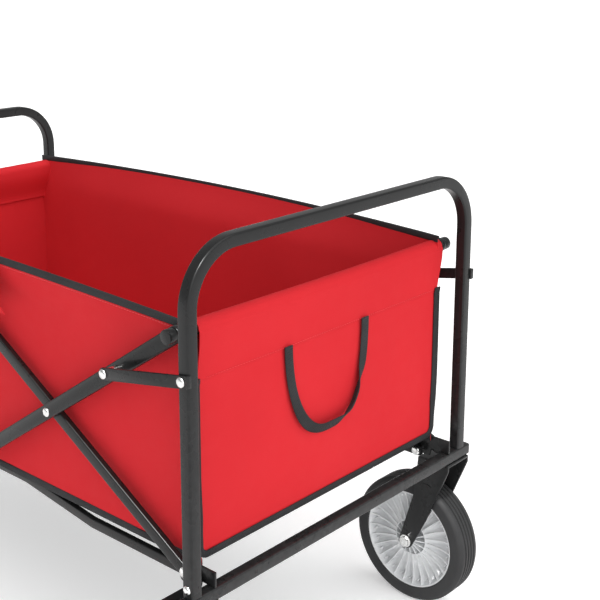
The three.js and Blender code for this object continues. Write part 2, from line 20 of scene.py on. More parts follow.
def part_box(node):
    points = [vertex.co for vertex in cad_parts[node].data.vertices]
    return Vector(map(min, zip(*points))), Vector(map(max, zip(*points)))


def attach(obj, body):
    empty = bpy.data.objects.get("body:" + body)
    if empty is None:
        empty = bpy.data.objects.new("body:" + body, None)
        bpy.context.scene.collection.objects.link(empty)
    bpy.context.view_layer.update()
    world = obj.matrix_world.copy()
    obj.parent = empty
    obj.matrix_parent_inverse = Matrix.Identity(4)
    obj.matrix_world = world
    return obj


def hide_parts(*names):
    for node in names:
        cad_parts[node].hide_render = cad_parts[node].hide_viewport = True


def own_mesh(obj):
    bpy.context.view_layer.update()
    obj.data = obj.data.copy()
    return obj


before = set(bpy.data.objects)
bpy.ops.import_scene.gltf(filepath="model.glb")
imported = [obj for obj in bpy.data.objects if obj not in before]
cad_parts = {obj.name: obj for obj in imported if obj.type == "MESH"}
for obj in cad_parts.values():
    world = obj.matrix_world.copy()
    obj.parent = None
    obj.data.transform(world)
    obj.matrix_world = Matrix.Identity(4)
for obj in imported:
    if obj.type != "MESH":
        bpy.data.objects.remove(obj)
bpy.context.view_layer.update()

log = logging.getLogger("wagon")

X_AXIS = Vector((1.0, 0.0, 0.0))
Y_AXIS = Vector((0.0, 1.0, 0.0))
Z_AXIS = Vector((0.0, 0.0, 1.0))
QUARTER = math.pi / 2
GAP = 0.0003


class End(Enum):
    """The two ends of the wagon; the value is the sign of X."""

    REAR = -1
    FRONT = 1


class Side(Enum):
    """The two sides of the wagon; the value is the sign of Y."""

    LEFT = 1
    RIGHT = -1


# ---- materials ----------------------------------------------------------------------------


class Graph:
    """A node material being wired up around one Principled shader."""

    def __init__(self, name: str) -> None:
        """Start an empty material.

        Args:
            name: The material's name.
        """
        self.material = bpy.data.materials.new(name)
        self.material.use_nodes = True
        self.tree = self.material.node_tree
        self.shader = self.tree.nodes["Principled BSDF"]

    def add(self, kind: str, inputs: Optional[dict[Any, Any]] = None, **settings: Any) -> bpy.types.Node:
        """Add a node.

        Args:
            kind: Node type without the "ShaderNode" prefix.
            inputs: Socket name or index to a value, or to a socket to link from.
            **settings: Properties of the node.

        Returns:
            The new node.
        """
        node = self.tree.nodes.new("ShaderNode" + kind)
        for key, value in settings.items():
            setattr(node, key, value)
        for key, value in (inputs or {}).items():
            self.feed(node.inputs[key], value)
        return node

    def feed(self, socket: bpy.types.NodeSocket, value: Any) -> None:
        """Link a socket, or set its constant."""
        if isinstance(value, bpy.types.NodeSocket):
            self.tree.links.new(value, socket)
        else:
            socket.default_value = value

    def set(self, **values: Any) -> None:
        """Set or link the shader's own sockets; underscores stand for spaces."""
        for key, value in values.items():
            self.feed(self.shader.inputs[key.replace("_", " ")], value)

    def place(self, by_uv: bool = False) -> bpy.types.NodeSocket:
        """Object coordinates in metres, or the piece's UV map, also in metres."""
        return self.add("TexCoord").outputs["UV" if by_uv else "Object"]

    def grain(self, place: bpy.types.NodeSocket, scale: float, detail: float = 2.0) -> bpy.types.NodeSocket:
        """Noise of a given scale per metre."""
        return self.add("TexNoise", {"Vector": place, "Scale": scale, "Detail": detail}).outputs["Fac"]

    def spread(self, value: bpy.types.NodeSocket, low: float, high: float) -> bpy.types.NodeSocket:
        """Map the middle of a noise's range on to low to high."""
        node = self.add("MapRange", {"Value": value, 1: 0.3, 2: 0.7, 3: low, 4: high})
        return node.outputs[0]

    def blend(self, factor: bpy.types.NodeSocket, first: Any, second: Any) -> bpy.types.NodeSocket:
        """Mix two colours by a factor."""
        node = self.add("Mix", {0: factor, 6: first, 7: second}, data_type="RGBA")
        return node.outputs[2]

    def maths(self, operation: str, first: Any, second: Any) -> bpy.types.NodeSocket:
        """One arithmetic step."""
        return self.add("Math", {0: first, 1: second}, operation=operation).outputs[0]

    def relief(self, height: bpy.types.NodeSocket, strength: float, depth: float,
               under: Optional[bpy.types.NodeSocket] = None) -> bpy.types.NodeSocket:
        """Bump the surface.

        Args:
            height: Height from 0 to 1.
            strength: Share of the effect.
            depth: Real height of the relief, in metres.
            under: A coarser relief's normal that this one lies on.

        Returns:
            The bumped normal.
        """
        inputs = {"Height": height, "Strength": strength, "Distance": depth}
        if under is not None:
            inputs["Normal"] = under
        return self.add("Bump", inputs).outputs[0]


def paint(red: float, green: float, blue: float) -> tuple[float, float, float, float]:
    """An opaque colour in linear light."""
    return (red, green, blue, 1.0)


@dataclass(frozen=True)
class Finish:
    """A finish, made once and kept; each kind writes its own nodes."""

    name: str
    slot: str

    _made: ClassVar[dict[str, bpy.types.Material]] = {}

    def material(self) -> bpy.types.Material:
        """The finish's material, made on first use."""
        if self.name not in Finish._made:
            graph = Graph(self.name)
            self.wire(graph)
            Finish._made[self.name] = graph.material
        return Finish._made[self.name]

    def wire(self, graph: Graph) -> None:
        """Write the nodes."""
        raise NotImplementedError


@dataclass(frozen=True)
class PowderCoat(Finish):
    """Semi-gloss black powder coat: faint orange peel, and edges rubbed a little lighter."""

    dark: tuple = paint(0.0085, 0.0088, 0.0090)
    light: tuple = paint(0.0135, 0.0138, 0.0140)
    rubbed: tuple = paint(0.050, 0.051, 0.052)

    def wire(self, graph: Graph) -> None:
        """Write the nodes."""
        place = graph.place()
        clouds = graph.grain(place, 9.0, 4.0)
        body = graph.blend(graph.spread(clouds, 0.0, 1.0), self.dark, self.light)
        edge = graph.add("NewGeometry").outputs["Pointiness"]
        worn = graph.add("MapRange", {"Value": edge, 1: 0.53, 2: 0.62, 3: 0.0, 4: 0.55}).outputs[0]
        broken = graph.maths("MULTIPLY", worn, graph.spread(graph.grain(place, 140.0, 3.0), 0.2, 1.0))
        graph.set(
            Base_Color=graph.blend(broken, body, self.rubbed),
            Roughness=graph.spread(graph.grain(place, 35.0, 3.0), 0.24, 0.33),
            Specular_IOR_Level=0.24,
            Normal=graph.relief(graph.grain(place, 620.0), 0.14, 0.00010),
        )


@dataclass(frozen=True)
class Zinc(Finish):
    """Bright zinc plate with a fine brushed grain."""

    def wire(self, graph: Graph) -> None:
        """Write the nodes."""
        place = graph.place()
        cloud = graph.spread(graph.grain(place, 260.0, 3.0), 0.0, 1.0)
        graph.set(
            Base_Color=graph.blend(cloud, paint(0.62, 0.62, 0.61), paint(0.86, 0.86, 0.85)),
            Metallic=1.0,
            Roughness=graph.spread(graph.grain(place, 500.0), 0.16, 0.3),
            Normal=graph.relief(graph.grain(place, 900.0), 0.15, 0.00006),
        )


@dataclass(frozen=True)
class Canvas(Finish):
    """Coated plain-weave polyester: a basket of fine threads under a thin satin coating."""

    main: tuple = paint(0.605, 0.0250, 0.0320)
    deep: tuple = paint(0.520, 0.0190, 0.0250)
    thread: float = 0.0009

    def wire(self, graph: Graph) -> None:
        """Write the nodes."""
        cloth = graph.place(by_uv=True)
        place = graph.place()
        per_metre = 2 * math.pi / (20.0 * self.thread)
        bands = [
            graph.add("TexWave", {"Vector": cloth, "Scale": per_metre, "Distortion": 0.4, "Detail": 1.0},
                      bands_direction=way).outputs["Fac"]
            for way in ("X", "Y")
        ]
        weave = graph.maths("MAXIMUM", *bands)
        slub = graph.grain(cloth, 900.0, 1.0)
        patch = graph.spread(graph.grain(place, 5.0, 4.0), 0.0, 0.55)
        fleck = graph.maths("MULTIPLY", graph.spread(slub, 0.0, 1.0), 0.3)
        tone = graph.maths("ADD", patch, fleck)
        soft = graph.relief(graph.grain(place, 26.0, 3.0), 0.3, 0.0012)
        graph.set(
            Base_Color=graph.blend(tone, self.main, self.deep),
            Roughness=graph.spread(graph.grain(place, 60.0, 2.0), 0.62, 0.76),
            Specular_IOR_Level=0.05,
            Normal=graph.relief(weave, 0.35, 0.00018, soft),
        )


@dataclass(frozen=True)
class Tape(Finish):
    """Woven polypropylene tape with ribs across its length."""

    rib: float = 0.0014

    def wire(self, graph: Graph) -> None:
        """Write the nodes."""
        cloth = graph.place(by_uv=True)
        per_metre = 2 * math.pi / (20.0 * self.rib)
        ribs = graph.add("TexWave", {"Vector": cloth, "Scale": per_metre, "Distortion": 0.3},
                         bands_direction="DIAGONAL").outputs["Fac"]
        cross = graph.add("TexWave", {"Vector": cloth, "Scale": per_metre * 0.8},
                          bands_direction="X").outputs["Fac"]
        weave = graph.maths("MULTIPLY", ribs, cross)
        patch = graph.spread(graph.grain(graph.place(), 40.0, 3.0), 0.0, 1.0)
        graph.set(
            Base_Color=graph.blend(patch, paint(0.014, 0.014, 0.015), paint(0.022, 0.022, 0.024)),
            Roughness=graph.spread(weave, 0.62, 0.85),
            Specular_IOR_Level=0.22,
            Normal=graph.relief(weave, 0.7, 0.0003),
        )


@dataclass(frozen=True)
class Thread(Finish):
    """Polyester sewing thread."""

    colour: tuple = paint(0.55, 0.012, 0.02)

    def wire(self, graph: Graph) -> None:
        """Write the nodes."""
        twist = graph.grain(graph.place(), 1500.0, 1.0)
        lighter = paint(*(min(1.0, c * 1.35) for c in self.colour[:3]))
        graph.set(
            Base_Color=graph.blend(graph.spread(twist, 0.0, 1.0), self.colour, lighter),
            Roughness=0.6,
            Normal=graph.relief(twist, 0.4, 0.0001),
        )


@dataclass(frozen=True)
class Rubber(Finish):
    """Moulded tyre rubber: matt, finely pitted, dusty in patches."""

    def wire(self, graph: Graph) -> None:
        """Write the nodes."""
        place = graph.place()
        dust = graph.spread(graph.grain(place, 24.0, 5.0), 0.0, 1.0)
        pits = graph.grain(place, 1100.0, 2.0)
        graph.set(
            Base_Color=graph.blend(dust, paint(0.017, 0.017, 0.018), paint(0.028, 0.028, 0.029)),
            Roughness=graph.spread(dust, 0.62, 0.8),
            Specular_IOR_Level=0.4,
            Normal=graph.relief(pits, 0.35, 0.00015),
        )


@dataclass(frozen=True)
class RimPlastic(Finish):
    """Pale grey moulded rim with a satin face."""

    def wire(self, graph: Graph) -> None:
        """Write the nodes."""
        place = graph.place()
        tone = graph.spread(graph.grain(place, 45.0, 4.0), 0.0, 1.0)
        graph.set(
            Base_Color=graph.blend(tone, paint(0.66, 0.67, 0.68), paint(0.76, 0.77, 0.78)),
            Roughness=graph.spread(graph.grain(place, 90.0), 0.18, 0.28),
            Specular_IOR_Level=0.5,
            Normal=graph.relief(graph.grain(place, 420.0), 0.12, 0.0001),
        )


@dataclass(frozen=True)
class BlackPlastic(Finish):
    """Spark-textured black nylon."""

    def wire(self, graph: Graph) -> None:
        """Write the nodes."""
        place = graph.place()
        texture = graph.grain(place, 1300.0, 3.0)
        tone = graph.spread(graph.grain(place, 30.0, 3.0), 0.0, 1.0)
        graph.set(
            Base_Color=graph.blend(tone, paint(0.016, 0.016, 0.017), paint(0.024, 0.024, 0.025)),
            Roughness=graph.spread(texture, 0.42, 0.58),
            Normal=graph.relief(texture, 0.4, 0.00012),
        )


@dataclass(frozen=True)
class StudioFloor(Finish):
    """Seamless pale studio floor, lit a little from within like a light table."""

    def wire(self, graph: Graph) -> None:
        """Write the nodes."""
        tone = graph.spread(graph.grain(graph.place(), 1.5, 3.0), 0.0, 1.0)
        graph.set(
            Base_Color=graph.blend(tone, paint(0.90, 0.90, 0.90), paint(0.92, 0.92, 0.92)),
            Roughness=0.9,
            Specular_IOR_Level=0.1,
            Emission_Color=paint(1.0, 1.0, 1.0),
            Emission_Strength=0.34,
        )


FRAME_COAT = PowderCoat("black_powder_coat", "frame")
ZINC = Zinc("bright_zinc", "zinc")
CANVAS = Canvas("red_coated_canvas", "fabric")
BASE_CLOTH = Canvas("black_base_cloth", "webbing", paint(0.020, 0.020, 0.022), paint(0.014, 0.014, 0.015))
BINDING = Tape("black_binding_tape", "webbing", 0.0012)
WEBBING = Tape("black_webbing", "webbing", 0.0018)
RED_THREAD = Thread("red_thread", "fabric")
BLACK_THREAD = Thread("black_thread", "webbing", paint(0.03, 0.03, 0.032))
RUBBER = Rubber("tyre_rubber", "tyre")
RIM_PLASTIC = RimPlastic("grey_rim_plastic", "rim")
BLACK_PLASTIC = BlackPlastic("textured_black_plastic", "plastic")
FLOOR_FINISH = StudioFloor("studio_floor", "floor")


# ---- modelling ----------------------------------------------------------------------------


class Workpiece:
    """One piece being modelled: a primitive, shaped by edit operators, then finished."""

    def __init__(self, obj: bpy.types.Object, name: str) -> None:
        """Take over an object.

        Args:
            obj: The object to shape.
            name: The piece's name.
        """
        self.obj = obj
        obj.name = obj.data.name = name

    # -- starts --

    @staticmethod
    def clear() -> None:
        """Leave edit mode and select nothing."""
        if bpy.context.object and bpy.context.object.mode != "OBJECT":
            bpy.ops.object.mode_set(mode="OBJECT")
        bpy.ops.object.select_all(action="DESELECT")

    @classmethod
    def block(cls, name: str, low: Sequence[float], high: Sequence[float]) -> "Workpiece":
        """A box between two corners, in either order."""
        cls.clear()
        first, second = Vector(low), Vector(high)
        bpy.ops.mesh.primitive_cube_add(size=1.0, location=(first + second) / 2)
        bpy.context.object.scale = [abs(a) for a in second - first]
        bpy.ops.object.transform_apply(location=True, rotation=True, scale=True)
        return cls(bpy.context.object, name)

    @classmethod
    def disc(cls, name: str, centre: Sequence[float], radius: float, sides: int = 32,
             upright: bool = False) -> "Workpiece":
        """A filled circle facing up, or facing along Y when upright."""
        cls.clear()
        turn = (QUARTER, 0.0, 0.0) if upright else (0.0, 0.0, 0.0)
        bpy.ops.mesh.primitive_circle_add(vertices=sides, radius=radius, fill_type="NGON",
                                          location=centre, rotation=turn)
        bpy.ops.object.transform_apply(location=True, rotation=True, scale=True)
        return cls(bpy.context.object, name)

    @classmethod
    def section(cls, name: str, centre: Sequence[float], side: float, corner: float,
                along_y: bool = False, hollow: bool = False) -> "Workpiece":
        """A rounded square facing up, or facing along Y.

        Args:
            name: The piece's name.
            centre: Middle of the square.
            side: Side of the square.
            corner: Corner radius.
            along_y: Whether the square faces along Y.
            hollow: Whether only its outline is kept.

        Returns:
            The section, selected and ready to extrude.
        """
        cls.clear()
        turn = (QUARTER, 0.0, 0.0) if along_y else (0.0, 0.0, 0.0)
        bpy.ops.mesh.primitive_plane_add(size=side, location=centre, rotation=turn)
        bpy.ops.object.transform_apply(location=True, rotation=True, scale=True)
        piece = cls(bpy.context.object, name)
        with piece.editing():
            bpy.ops.mesh.select_all(action="SELECT")
            bpy.ops.mesh.bevel(offset=corner, segments=4, affect="VERTICES")
            if hollow:
                bpy.ops.mesh.delete(type="ONLY_FACE")
            bpy.ops.mesh.select_all(action="SELECT")
        return piece

    @classmethod
    def outline(cls, name: str, points: Sequence[Sequence[float]], closed: bool = True,
                filled: bool = True) -> "Workpiece":
        """A line drawn vertex by vertex from a plane shrunk to a point.

        Args:
            name: The piece's name.
            points: The line's points.
            closed: Whether the last point joins the first.
            filled: Whether a closed line gets a face.

        Returns:
            The line, all selected.
        """
        cls.clear()
        route = [Vector(p) for p in points]
        bpy.ops.mesh.primitive_plane_add(size=0.01, location=route[0])
        bpy.ops.object.transform_apply(location=True, rotation=True, scale=True)
        piece = cls(bpy.context.object, name)
        with piece.editing():
            bpy.ops.mesh.select_all(action="SELECT")
            bpy.ops.mesh.merge(type="CENTER")
            for before, after in zip(route, route[1:]):
                bpy.ops.mesh.extrude_vertices_move(TRANSFORM_OT_translate={"value": after - before})
            bpy.ops.mesh.select_all(action="SELECT")
            if closed and filled:
                bpy.ops.mesh.edge_face_add()
        if closed and not filled:
            mesh = bmesh.new()
            mesh.from_mesh(piece.obj.data)
            loose = [v for v in mesh.verts if len(v.link_edges) == 1]
            mesh.edges.new(loose)
            mesh.to_mesh(piece.obj.data)
            mesh.free()
        return piece

    @classmethod
    def grid(cls, name: str, across: int, along: int, place: Callable[[float, float], Sequence[float]],
             size: tuple[float, float], wrap: bool = False) -> "Workpiece":
        """A sheet laid out over a two-way grid, with a UV map in metres.

        Args:
            name: The piece's name.
            across: Steps in u.
            along: Steps in v.
            place: Gives a point for u and v from 0 to 1.
            size: Real width and length of the sheet.
            wrap: Whether v = 1 meets v = 0, as round a tape.

        Returns:
            The open sheet.
        """
        cls.clear()
        mesh = bmesh.new()
        rows = [[mesh.verts.new(place(i / across, j / along)) for i in range(across + 1)]
                for j in range(along if wrap else along + 1)]
        layer = mesh.loops.layers.uv.new("UVMap")
        for j in range(along):
            upper = rows[(j + 1) % len(rows)]
            for i in range(across):
                face = mesh.faces.new((rows[j][i], rows[j][i + 1], upper[i + 1], upper[i]))
                steps = ((i, j), (i + 1, j), (i + 1, j + 1), (i, j + 1))
                for loop, (a, b) in zip(face.loops, steps):
                    loop[layer].uv = (size[0] * a / across, size[1] * b / along)
        data = bpy.data.meshes.new(name)
        mesh.to_mesh(data)
        mesh.free()
        obj = bpy.data.objects.new(name, data)
        bpy.context.scene.collection.objects.link(obj)
        return cls(obj, name)

    # -- shaping --

    @contextmanager
    def editing(self) -> Iterator[None]:
        """Edit this piece alone."""
        self.clear()
        self.obj.select_set(True)
        bpy.context.view_layer.objects.active = self.obj
        bpy.ops.object.mode_set(mode="EDIT")
        yield
        bpy.ops.object.mode_set(mode="OBJECT")

    def pick(self, faces: Optional[Callable[[Vector, Vector], bool]] = None,
             points: Optional[Callable[[Vector], bool]] = None) -> "Workpiece":
        """Select by place.

        Args:
            faces: Test of a face's middle and normal.
            points: Test of a vertex.

        Returns:
            The piece.
        """
        bpy.context.tool_settings.mesh_select_mode = (points is not None, False, faces is not None)
        with self.editing():
            bpy.ops.mesh.select_all(action="DESELECT")
            mesh = bmesh.from_edit_mesh(self.obj.data)
            if faces:
                for face in mesh.faces:
                    if faces(face.calc_center_median(), face.normal):
                        face.select_set(True)
            if points:
                for vertex in mesh.verts:
                    if points(vertex.co):
                        vertex.select_set(True)
            bmesh.update_edit_mesh(self.obj.data)
        bpy.context.tool_settings.mesh_select_mode = (True, False, False)
        return self

    def extrude(self, *steps: Sequence[float]) -> "Workpiece":
        """Extrude the selection step by step."""
        with self.editing():
            for step in steps:
                bpy.ops.mesh.extrude_region_move(TRANSFORM_OT_translate={"value": Vector(step)})
        return self

    def spin(self, steps: int, angle: float, centre: Sequence[float], axis: Sequence[float]) -> "Workpiece":
        """Spin the selection about an axis, turning left-handed for a positive angle."""
        with self.editing():
            bpy.ops.mesh.spin(steps=steps, angle=angle, center=Vector(centre), axis=Vector(axis))
        return self

    def inset(self, thickness: float) -> "Workpiece":
        """Inset the selected faces."""
        with self.editing():
            bpy.ops.mesh.inset(thickness=thickness, depth=0.0)
        return self

    def round_corners(self, offset: float, segments: int) -> "Workpiece":
        """Round the selected corners of a flat outline."""
        with self.editing():
            bpy.ops.mesh.bevel(offset=offset, segments=segments, affect="VERTICES")
        return self

    def clean(self) -> "Workpiece":
        """Merge doubles and turn every face outwards."""
        with self.editing():
            bpy.ops.mesh.select_all(action="SELECT")
            bpy.ops.mesh.remove_doubles(threshold=0.00001)
            bpy.ops.mesh.normals_make_consistent(inside=False)
        return self

    def modify(self, kind: str, **settings: Any) -> "Workpiece":
        """Add a modifier and apply it."""
        self.clear()
        self.obj.select_set(True)
        bpy.context.view_layer.objects.active = self.obj
        modifier = self.obj.modifiers.new(kind.lower(), kind)
        for key, value in settings.items():
            setattr(modifier, key, value)
        bpy.ops.object.modifier_apply(modifier=modifier.name)
        return self

    def soften(self, width: float, segments: int = 2, angle: float = 35.0) -> "Workpiece":
        """Round every edge sharper than an angle in degrees."""
        return self.modify("BEVEL", width=width, segments=segments, limit_method="ANGLE",
                           angle_limit=math.radians(angle), harden_normals=False)

    def thicken(self, thickness: float) -> "Workpiece":
        """Give a sheet its thickness, half of it on each face."""
        return self.modify("SOLIDIFY", thickness=thickness, offset=0.0, use_even_offset=True)

    def turn(self, matrix: Matrix) -> "Workpiece":
        """Move the mesh itself."""
        self.obj.data.transform(matrix)
        return self

    def join(self, others: Iterable["Workpiece"]) -> "Workpiece":
        """Take other pieces into this one."""
        extra = list(others)
        if extra:
            self.clear()
            for piece in extra:
                piece.obj.select_set(True)
            self.obj.select_set(True)
            bpy.context.view_layer.objects.active = self.obj
            bpy.ops.object.join()
        return self

    def copy(self, name: str, matrix: Matrix) -> "Workpiece":
        """A copy with its own mesh, moved by a matrix."""
        obj = self.obj.copy()
        obj.data = self.obj.data.copy()
        bpy.context.scene.collection.objects.link(obj)
        return Workpiece(obj, name).turn(matrix)

    def finish(self, finish: Finish, body: str, replaces: Sequence[str] = (),
               smooth: float = 38.0) -> bpy.types.Object:
        """Dress the piece and hang it on its body.

        Args:
            finish: The finish of every face.
            body: The CAD body that it rides on.
            replaces: CAD nodes that it stands for.
            smooth: Angle in degrees under which edges are shaded smooth.

        Returns:
            The finished object.
        """
        self.clear()
        self.obj.select_set(True)
        bpy.context.view_layer.objects.active = self.obj
        bpy.ops.object.transform_apply(location=True, rotation=True, scale=True)
        bpy.ops.object.shade_smooth_by_angle(angle=math.radians(smooth))
        self.obj.data.materials.clear()
        self.obj.data.materials.append(finish.material())
        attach(self.obj, body)
        if replaces:
            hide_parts(*replaces)
        log.info("%s: %d faces, rides on %s", self.obj.name, len(self.obj.data.polygons), body)
        return self.obj


def united(name: str, pieces: Sequence[Workpiece]) -> Workpiece:
    """Join pieces under one name."""
    whole = pieces[0].join(pieces[1:])
    whole.obj.name = whole.obj.data.name = name
    return whole


def cylinder(name: str, centre: Sequence[float], radius: float, rise: Sequence[float], sides: int = 32,
             edge: float = 0.0005) -> Workpiece:
    """A pin from a disc extruded along Y or Z, with softened rims."""
    way = Vector(rise)
    piece = Workpiece.disc(name, centre, radius, sides, upright=abs(way.y) > abs(way.z))
    return piece.extrude(way).clean().soften(edge)


def dome(name: str, base: Vector, radius: float, height: float, out: int, sides: int = 24) -> Workpiece:
    """A rivet head: a low dome over a short rim, spun about Y.

    Args:
        name: The piece's name.
        base: Middle of its seat.
        radius: Radius of its rim.
        height: Height of the crown.
        out: Sign of Y that it faces.
        sides: Steps round.

    Returns:
        The closed head.
    """
    profile = [(0.0, 0.0), (1.0, 0.0), (1.02, 0.14)]
    profile += [(math.cos(a), 0.14 + 0.86 * math.sin(a)) for a in (0.25, 0.5, 0.75, 1.0, 1.25)]
    profile += [(0.0, 1.0)]
    points = [base + Vector((r * radius, out * h * height, 0.0)) for r, h in profile]
    return Workpiece.outline(name, points, closed=False).spin(sides, 2 * math.pi, base, Y_AXIS).clean()


def hexagon(name: str, base: Vector, radius: float, height: float, out: int) -> Workpiece:
    """A hexagonal bolt head or nut on a washer, facing along Y."""
    washer = cylinder(name + "_washer", base, radius * 1.18, (0.0, out * height * 0.22, 0.0), 32, 0.0003)
    head = Workpiece.disc(name, base + Vector((0.0, out * height * 0.2, 0.0)), radius, 6, upright=True)
    head.extrude((0.0, out * height * 0.8, 0.0)).clean().soften(0.0008, 2)
    return head.join([washer])


def lathe(name: str, profile: Sequence[tuple[float, float]], centre: Vector, steps: int) -> Workpiece:
    """A ring turned about the Y axis from a closed profile of radius and offset along Y."""
    points = [centre + Vector((r, y, 0.0)) for r, y in profile]
    ring = Workpiece.outline(name, points, filled=False)
    with ring.editing():
        bpy.ops.mesh.select_all(action="SELECT")
    return ring.spin(steps, 2 * math.pi, centre, Y_AXIS).clean()


def flat_bar(name: str, first: Vector, second: Vector, halves: tuple[float, float],
             thickness: float) -> Workpiece:
    """A round-ended bar between two pivots, in a plane across Y.

    Args:
        name: The piece's name.
        first: First pivot, on the bar's starting face.
        second: Second pivot, on the same face.
        halves: Radius of the bar's end round each pivot.
        thickness: Signed thickness along Y.

    Returns:
        The closed bar.
    """
    steps, edge = 10, 0.0017
    way = math.atan2(second.z - first.z, second.x - first.x)
    points = []
    for centre, radius, start in ((second, halves[1], way - QUARTER), (first, halves[0], way + QUARTER)):
        for i in range(steps + 1):
            angle = start + math.pi * i / steps
            points.append(centre + Vector((radius * math.cos(angle), 0.0, radius * math.sin(angle))))
    bar = Workpiece.outline(name, points).extrude((0.0, thickness, 0.0)).clean()
    return bar.soften(edge, 3, 50.0)


def strip(name: str, route: Sequence[Vector], out: Callable[[float], Vector], width: float, thickness: float,
          share: Callable[[float], float] = lambda t: 1.0) -> Workpiece:
    """A tape swept along a route, with rounded edges and a UV map along it.

    Args:
        name: The piece's name.
        route: Points along the tape's middle.
        out: Direction of the tape's face for a place from 0 to 1 along it.
        width: Width of the tape.
        thickness: Its thickness.
        share: Share of the width that shows at a place along it.

    Returns:
        The tape, closed at both ends.
    """
    around = 10
    last = len(route) - 1
    length = sum((b - a).length for a, b in zip(route, route[1:]))

    def place(u: float, v: float) -> Vector:
        """A point of the tape's rounded section, u along it and v round it."""
        i = round(u * last)
        tangent = (route[min(i + 1, last)] - route[max(i - 1, 0)]).normalized()
        face = out(i / last)
        face = (face - tangent * face.dot(tangent)).normalized()
        side = tangent.cross(face)
        angle = 2 * math.pi * v
        across = math.copysign(abs(math.cos(angle)) ** 0.35, math.cos(angle)) * width / 2 * share(i / last)
        depth = math.copysign(abs(math.sin(angle)) ** 0.6, math.sin(angle)) * thickness / 2
        return route[i] + side * across + face * depth

    tape = Workpiece.grid(name, last, around, place, (length, 2 * (width + thickness)), wrap=True)
    with tape.editing():
        bpy.ops.mesh.select_all(action="DESELECT")
        bpy.ops.mesh.select_non_manifold()
        bpy.ops.mesh.edge_face_add()
        bpy.ops.mesh.select_all(action="SELECT")
        bpy.ops.mesh.normals_make_consistent(inside=False)
    return tape


def stitches(name: str, route: Sequence[Vector], out: Callable[[float], Vector], pitch: float = 0.0042,
             thick: float = 0.0007) -> Workpiece:
    """A row of short thread loops lying along a route.

    Args:
        name: The piece's name.
        route: Points along the seam.
        out: Direction away from the cloth for a place from 0 to 1 along the seam.
        pitch: From one stitch to the next.
        thick: Thickness of the thread.

    Returns:
        All the stitches as one mesh.
    """
    spans = [(b - a).length for a, b in zip(route, route[1:])]
    total = sum(spans)
    mesh = bmesh.new()

    def at(distance: float) -> Vector:
        """The point at a distance along the seam."""
        left = distance
        for (a, b), span in zip(zip(route, route[1:]), spans):
            if left <= span:
                return a.lerp(b, left / span)
            left -= span
        return route[-1].copy()

    for k in range(int(total / pitch)):
        start, end = at(k * pitch + pitch * 0.18), at(k * pitch + pitch * 0.82)
        along = (end - start).normalized()
        face = out((k + 0.5) * pitch / total)
        side = along.cross(face).normalized()
        rings = []
        for t, lift, girth in ((0.0, -0.3, 0.5), (0.25, 0.35, 1.0), (0.75, 0.35, 1.0), (1.0, -0.3, 0.5)):
            middle = start.lerp(end, t) + face * thick * lift
            reach = thick / 2 * girth
            rings.append([mesh.verts.new(middle + side * reach * a + face * reach * b)
                          for a, b in ((1, 0), (0, 1), (-1, 0), (0, -1))])
        for low, high in zip(rings, rings[1:]):
            for i in range(4):
                mesh.faces.new((low[i], low[(i + 1) % 4], high[(i + 1) % 4], high[i]))
        mesh.faces.new(list(reversed(rings[0])))
        mesh.faces.new(rings[-1])
    bmesh.ops.recalc_face_normals(mesh, faces=mesh.faces)
    data = bpy.data.meshes.new(name)
    mesh.to_mesh(data)
    mesh.free()
    obj = bpy.data.objects.new(name, data)
    bpy.context.scene.collection.objects.link(obj)
    return Workpiece(obj, name)


# ---- places -------------------------------------------------------------------------------


@dataclass(frozen=True)
class Layout:
    """Places shared by the assemblies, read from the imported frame."""

    rear_post: float
    front_post: float
    post_y: float
    bail_foot: float
    bail_top: float
    cross_low: float
    cross_high: float
    cross_reach: float

    @classmethod
    def read(cls) -> "Layout":
        """Read the frame's boxes."""
        rear_low, rear_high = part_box("rear_bail")
        front_low, front_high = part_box("front_bail")
        bar_low, bar_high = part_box("rear_cross_bar")
        half_tube = (rear_high.x - rear_low.x) / 2
        return cls(
            rear_post=(rear_low.x + rear_high.x) / 2,
            front_post=(front_low.x + front_high.x) / 2,
            post_y=rear_high.y - half_tube,
            bail_foot=rear_low.z,
            bail_top=rear_high.z,
            cross_low=bar_low.z,
            cross_high=bar_high.z,
            cross_reach=bar_high.y,
        )

    @property
    def middle(self) -> float:
        """X midway between the posts."""
        return (self.rear_post + self.front_post) / 2

    @property
    def half(self) -> float:
        """Half the distance between the posts."""
        return (self.front_post - self.rear_post) / 2

    def post(self, end: End) -> float:
        """X of one end's posts."""
        return self.rear_post if end is End.REAR else self.front_post

    def at(self, end: End, side: Side, inboard: float, y: float, z: float) -> Vector:
        """A point given by its distance inboard of one end's posts."""
        return Vector((self.post(end) - end.value * inboard, side.value * y, z))


LAYOUT = Layout.read()

# Pivots at a post's foot: distance inboard of the post, and height.
ARM_PIN = (0.030, 0.246)
FLOOR_PIN = (0.038, 0.234)

# The two layers of side arms: inner and outer face of each, from the middle of the wagon.
INNER_LAYER = (0.2215, 0.2295)
OUTER_LAYER = (0.230, 0.238)


def sided(word: str, side: Side) -> str:
    """Name a piece or a node by its side."""
    return f"{word}_{side.name.lower()}"


def named(end: End, word: str, side: Optional[Side] = None) -> str:
    """Name a piece or a node by its end, and by its side if it has one."""
    whole = f"{end.name.lower()}_{word}"
    return sided(whole, side) if side else whole


def frame_body(end: End) -> str:
    """The body that carries one end frame."""
    return named(end, "frame")


def cloth_body(end: End) -> str:
    """The body that carries one end's rod and the cloth hung on it."""
    return "tub" if end is End.REAR else "front_rod"


def floor_arm_y(end: End) -> float:
    """Distance of an end's floor arms from the middle of the wagon, at their pins."""
    return 0.209 if end is End.REAR else 0.197


# ---- end frames ---------------------------------------------------------------------------


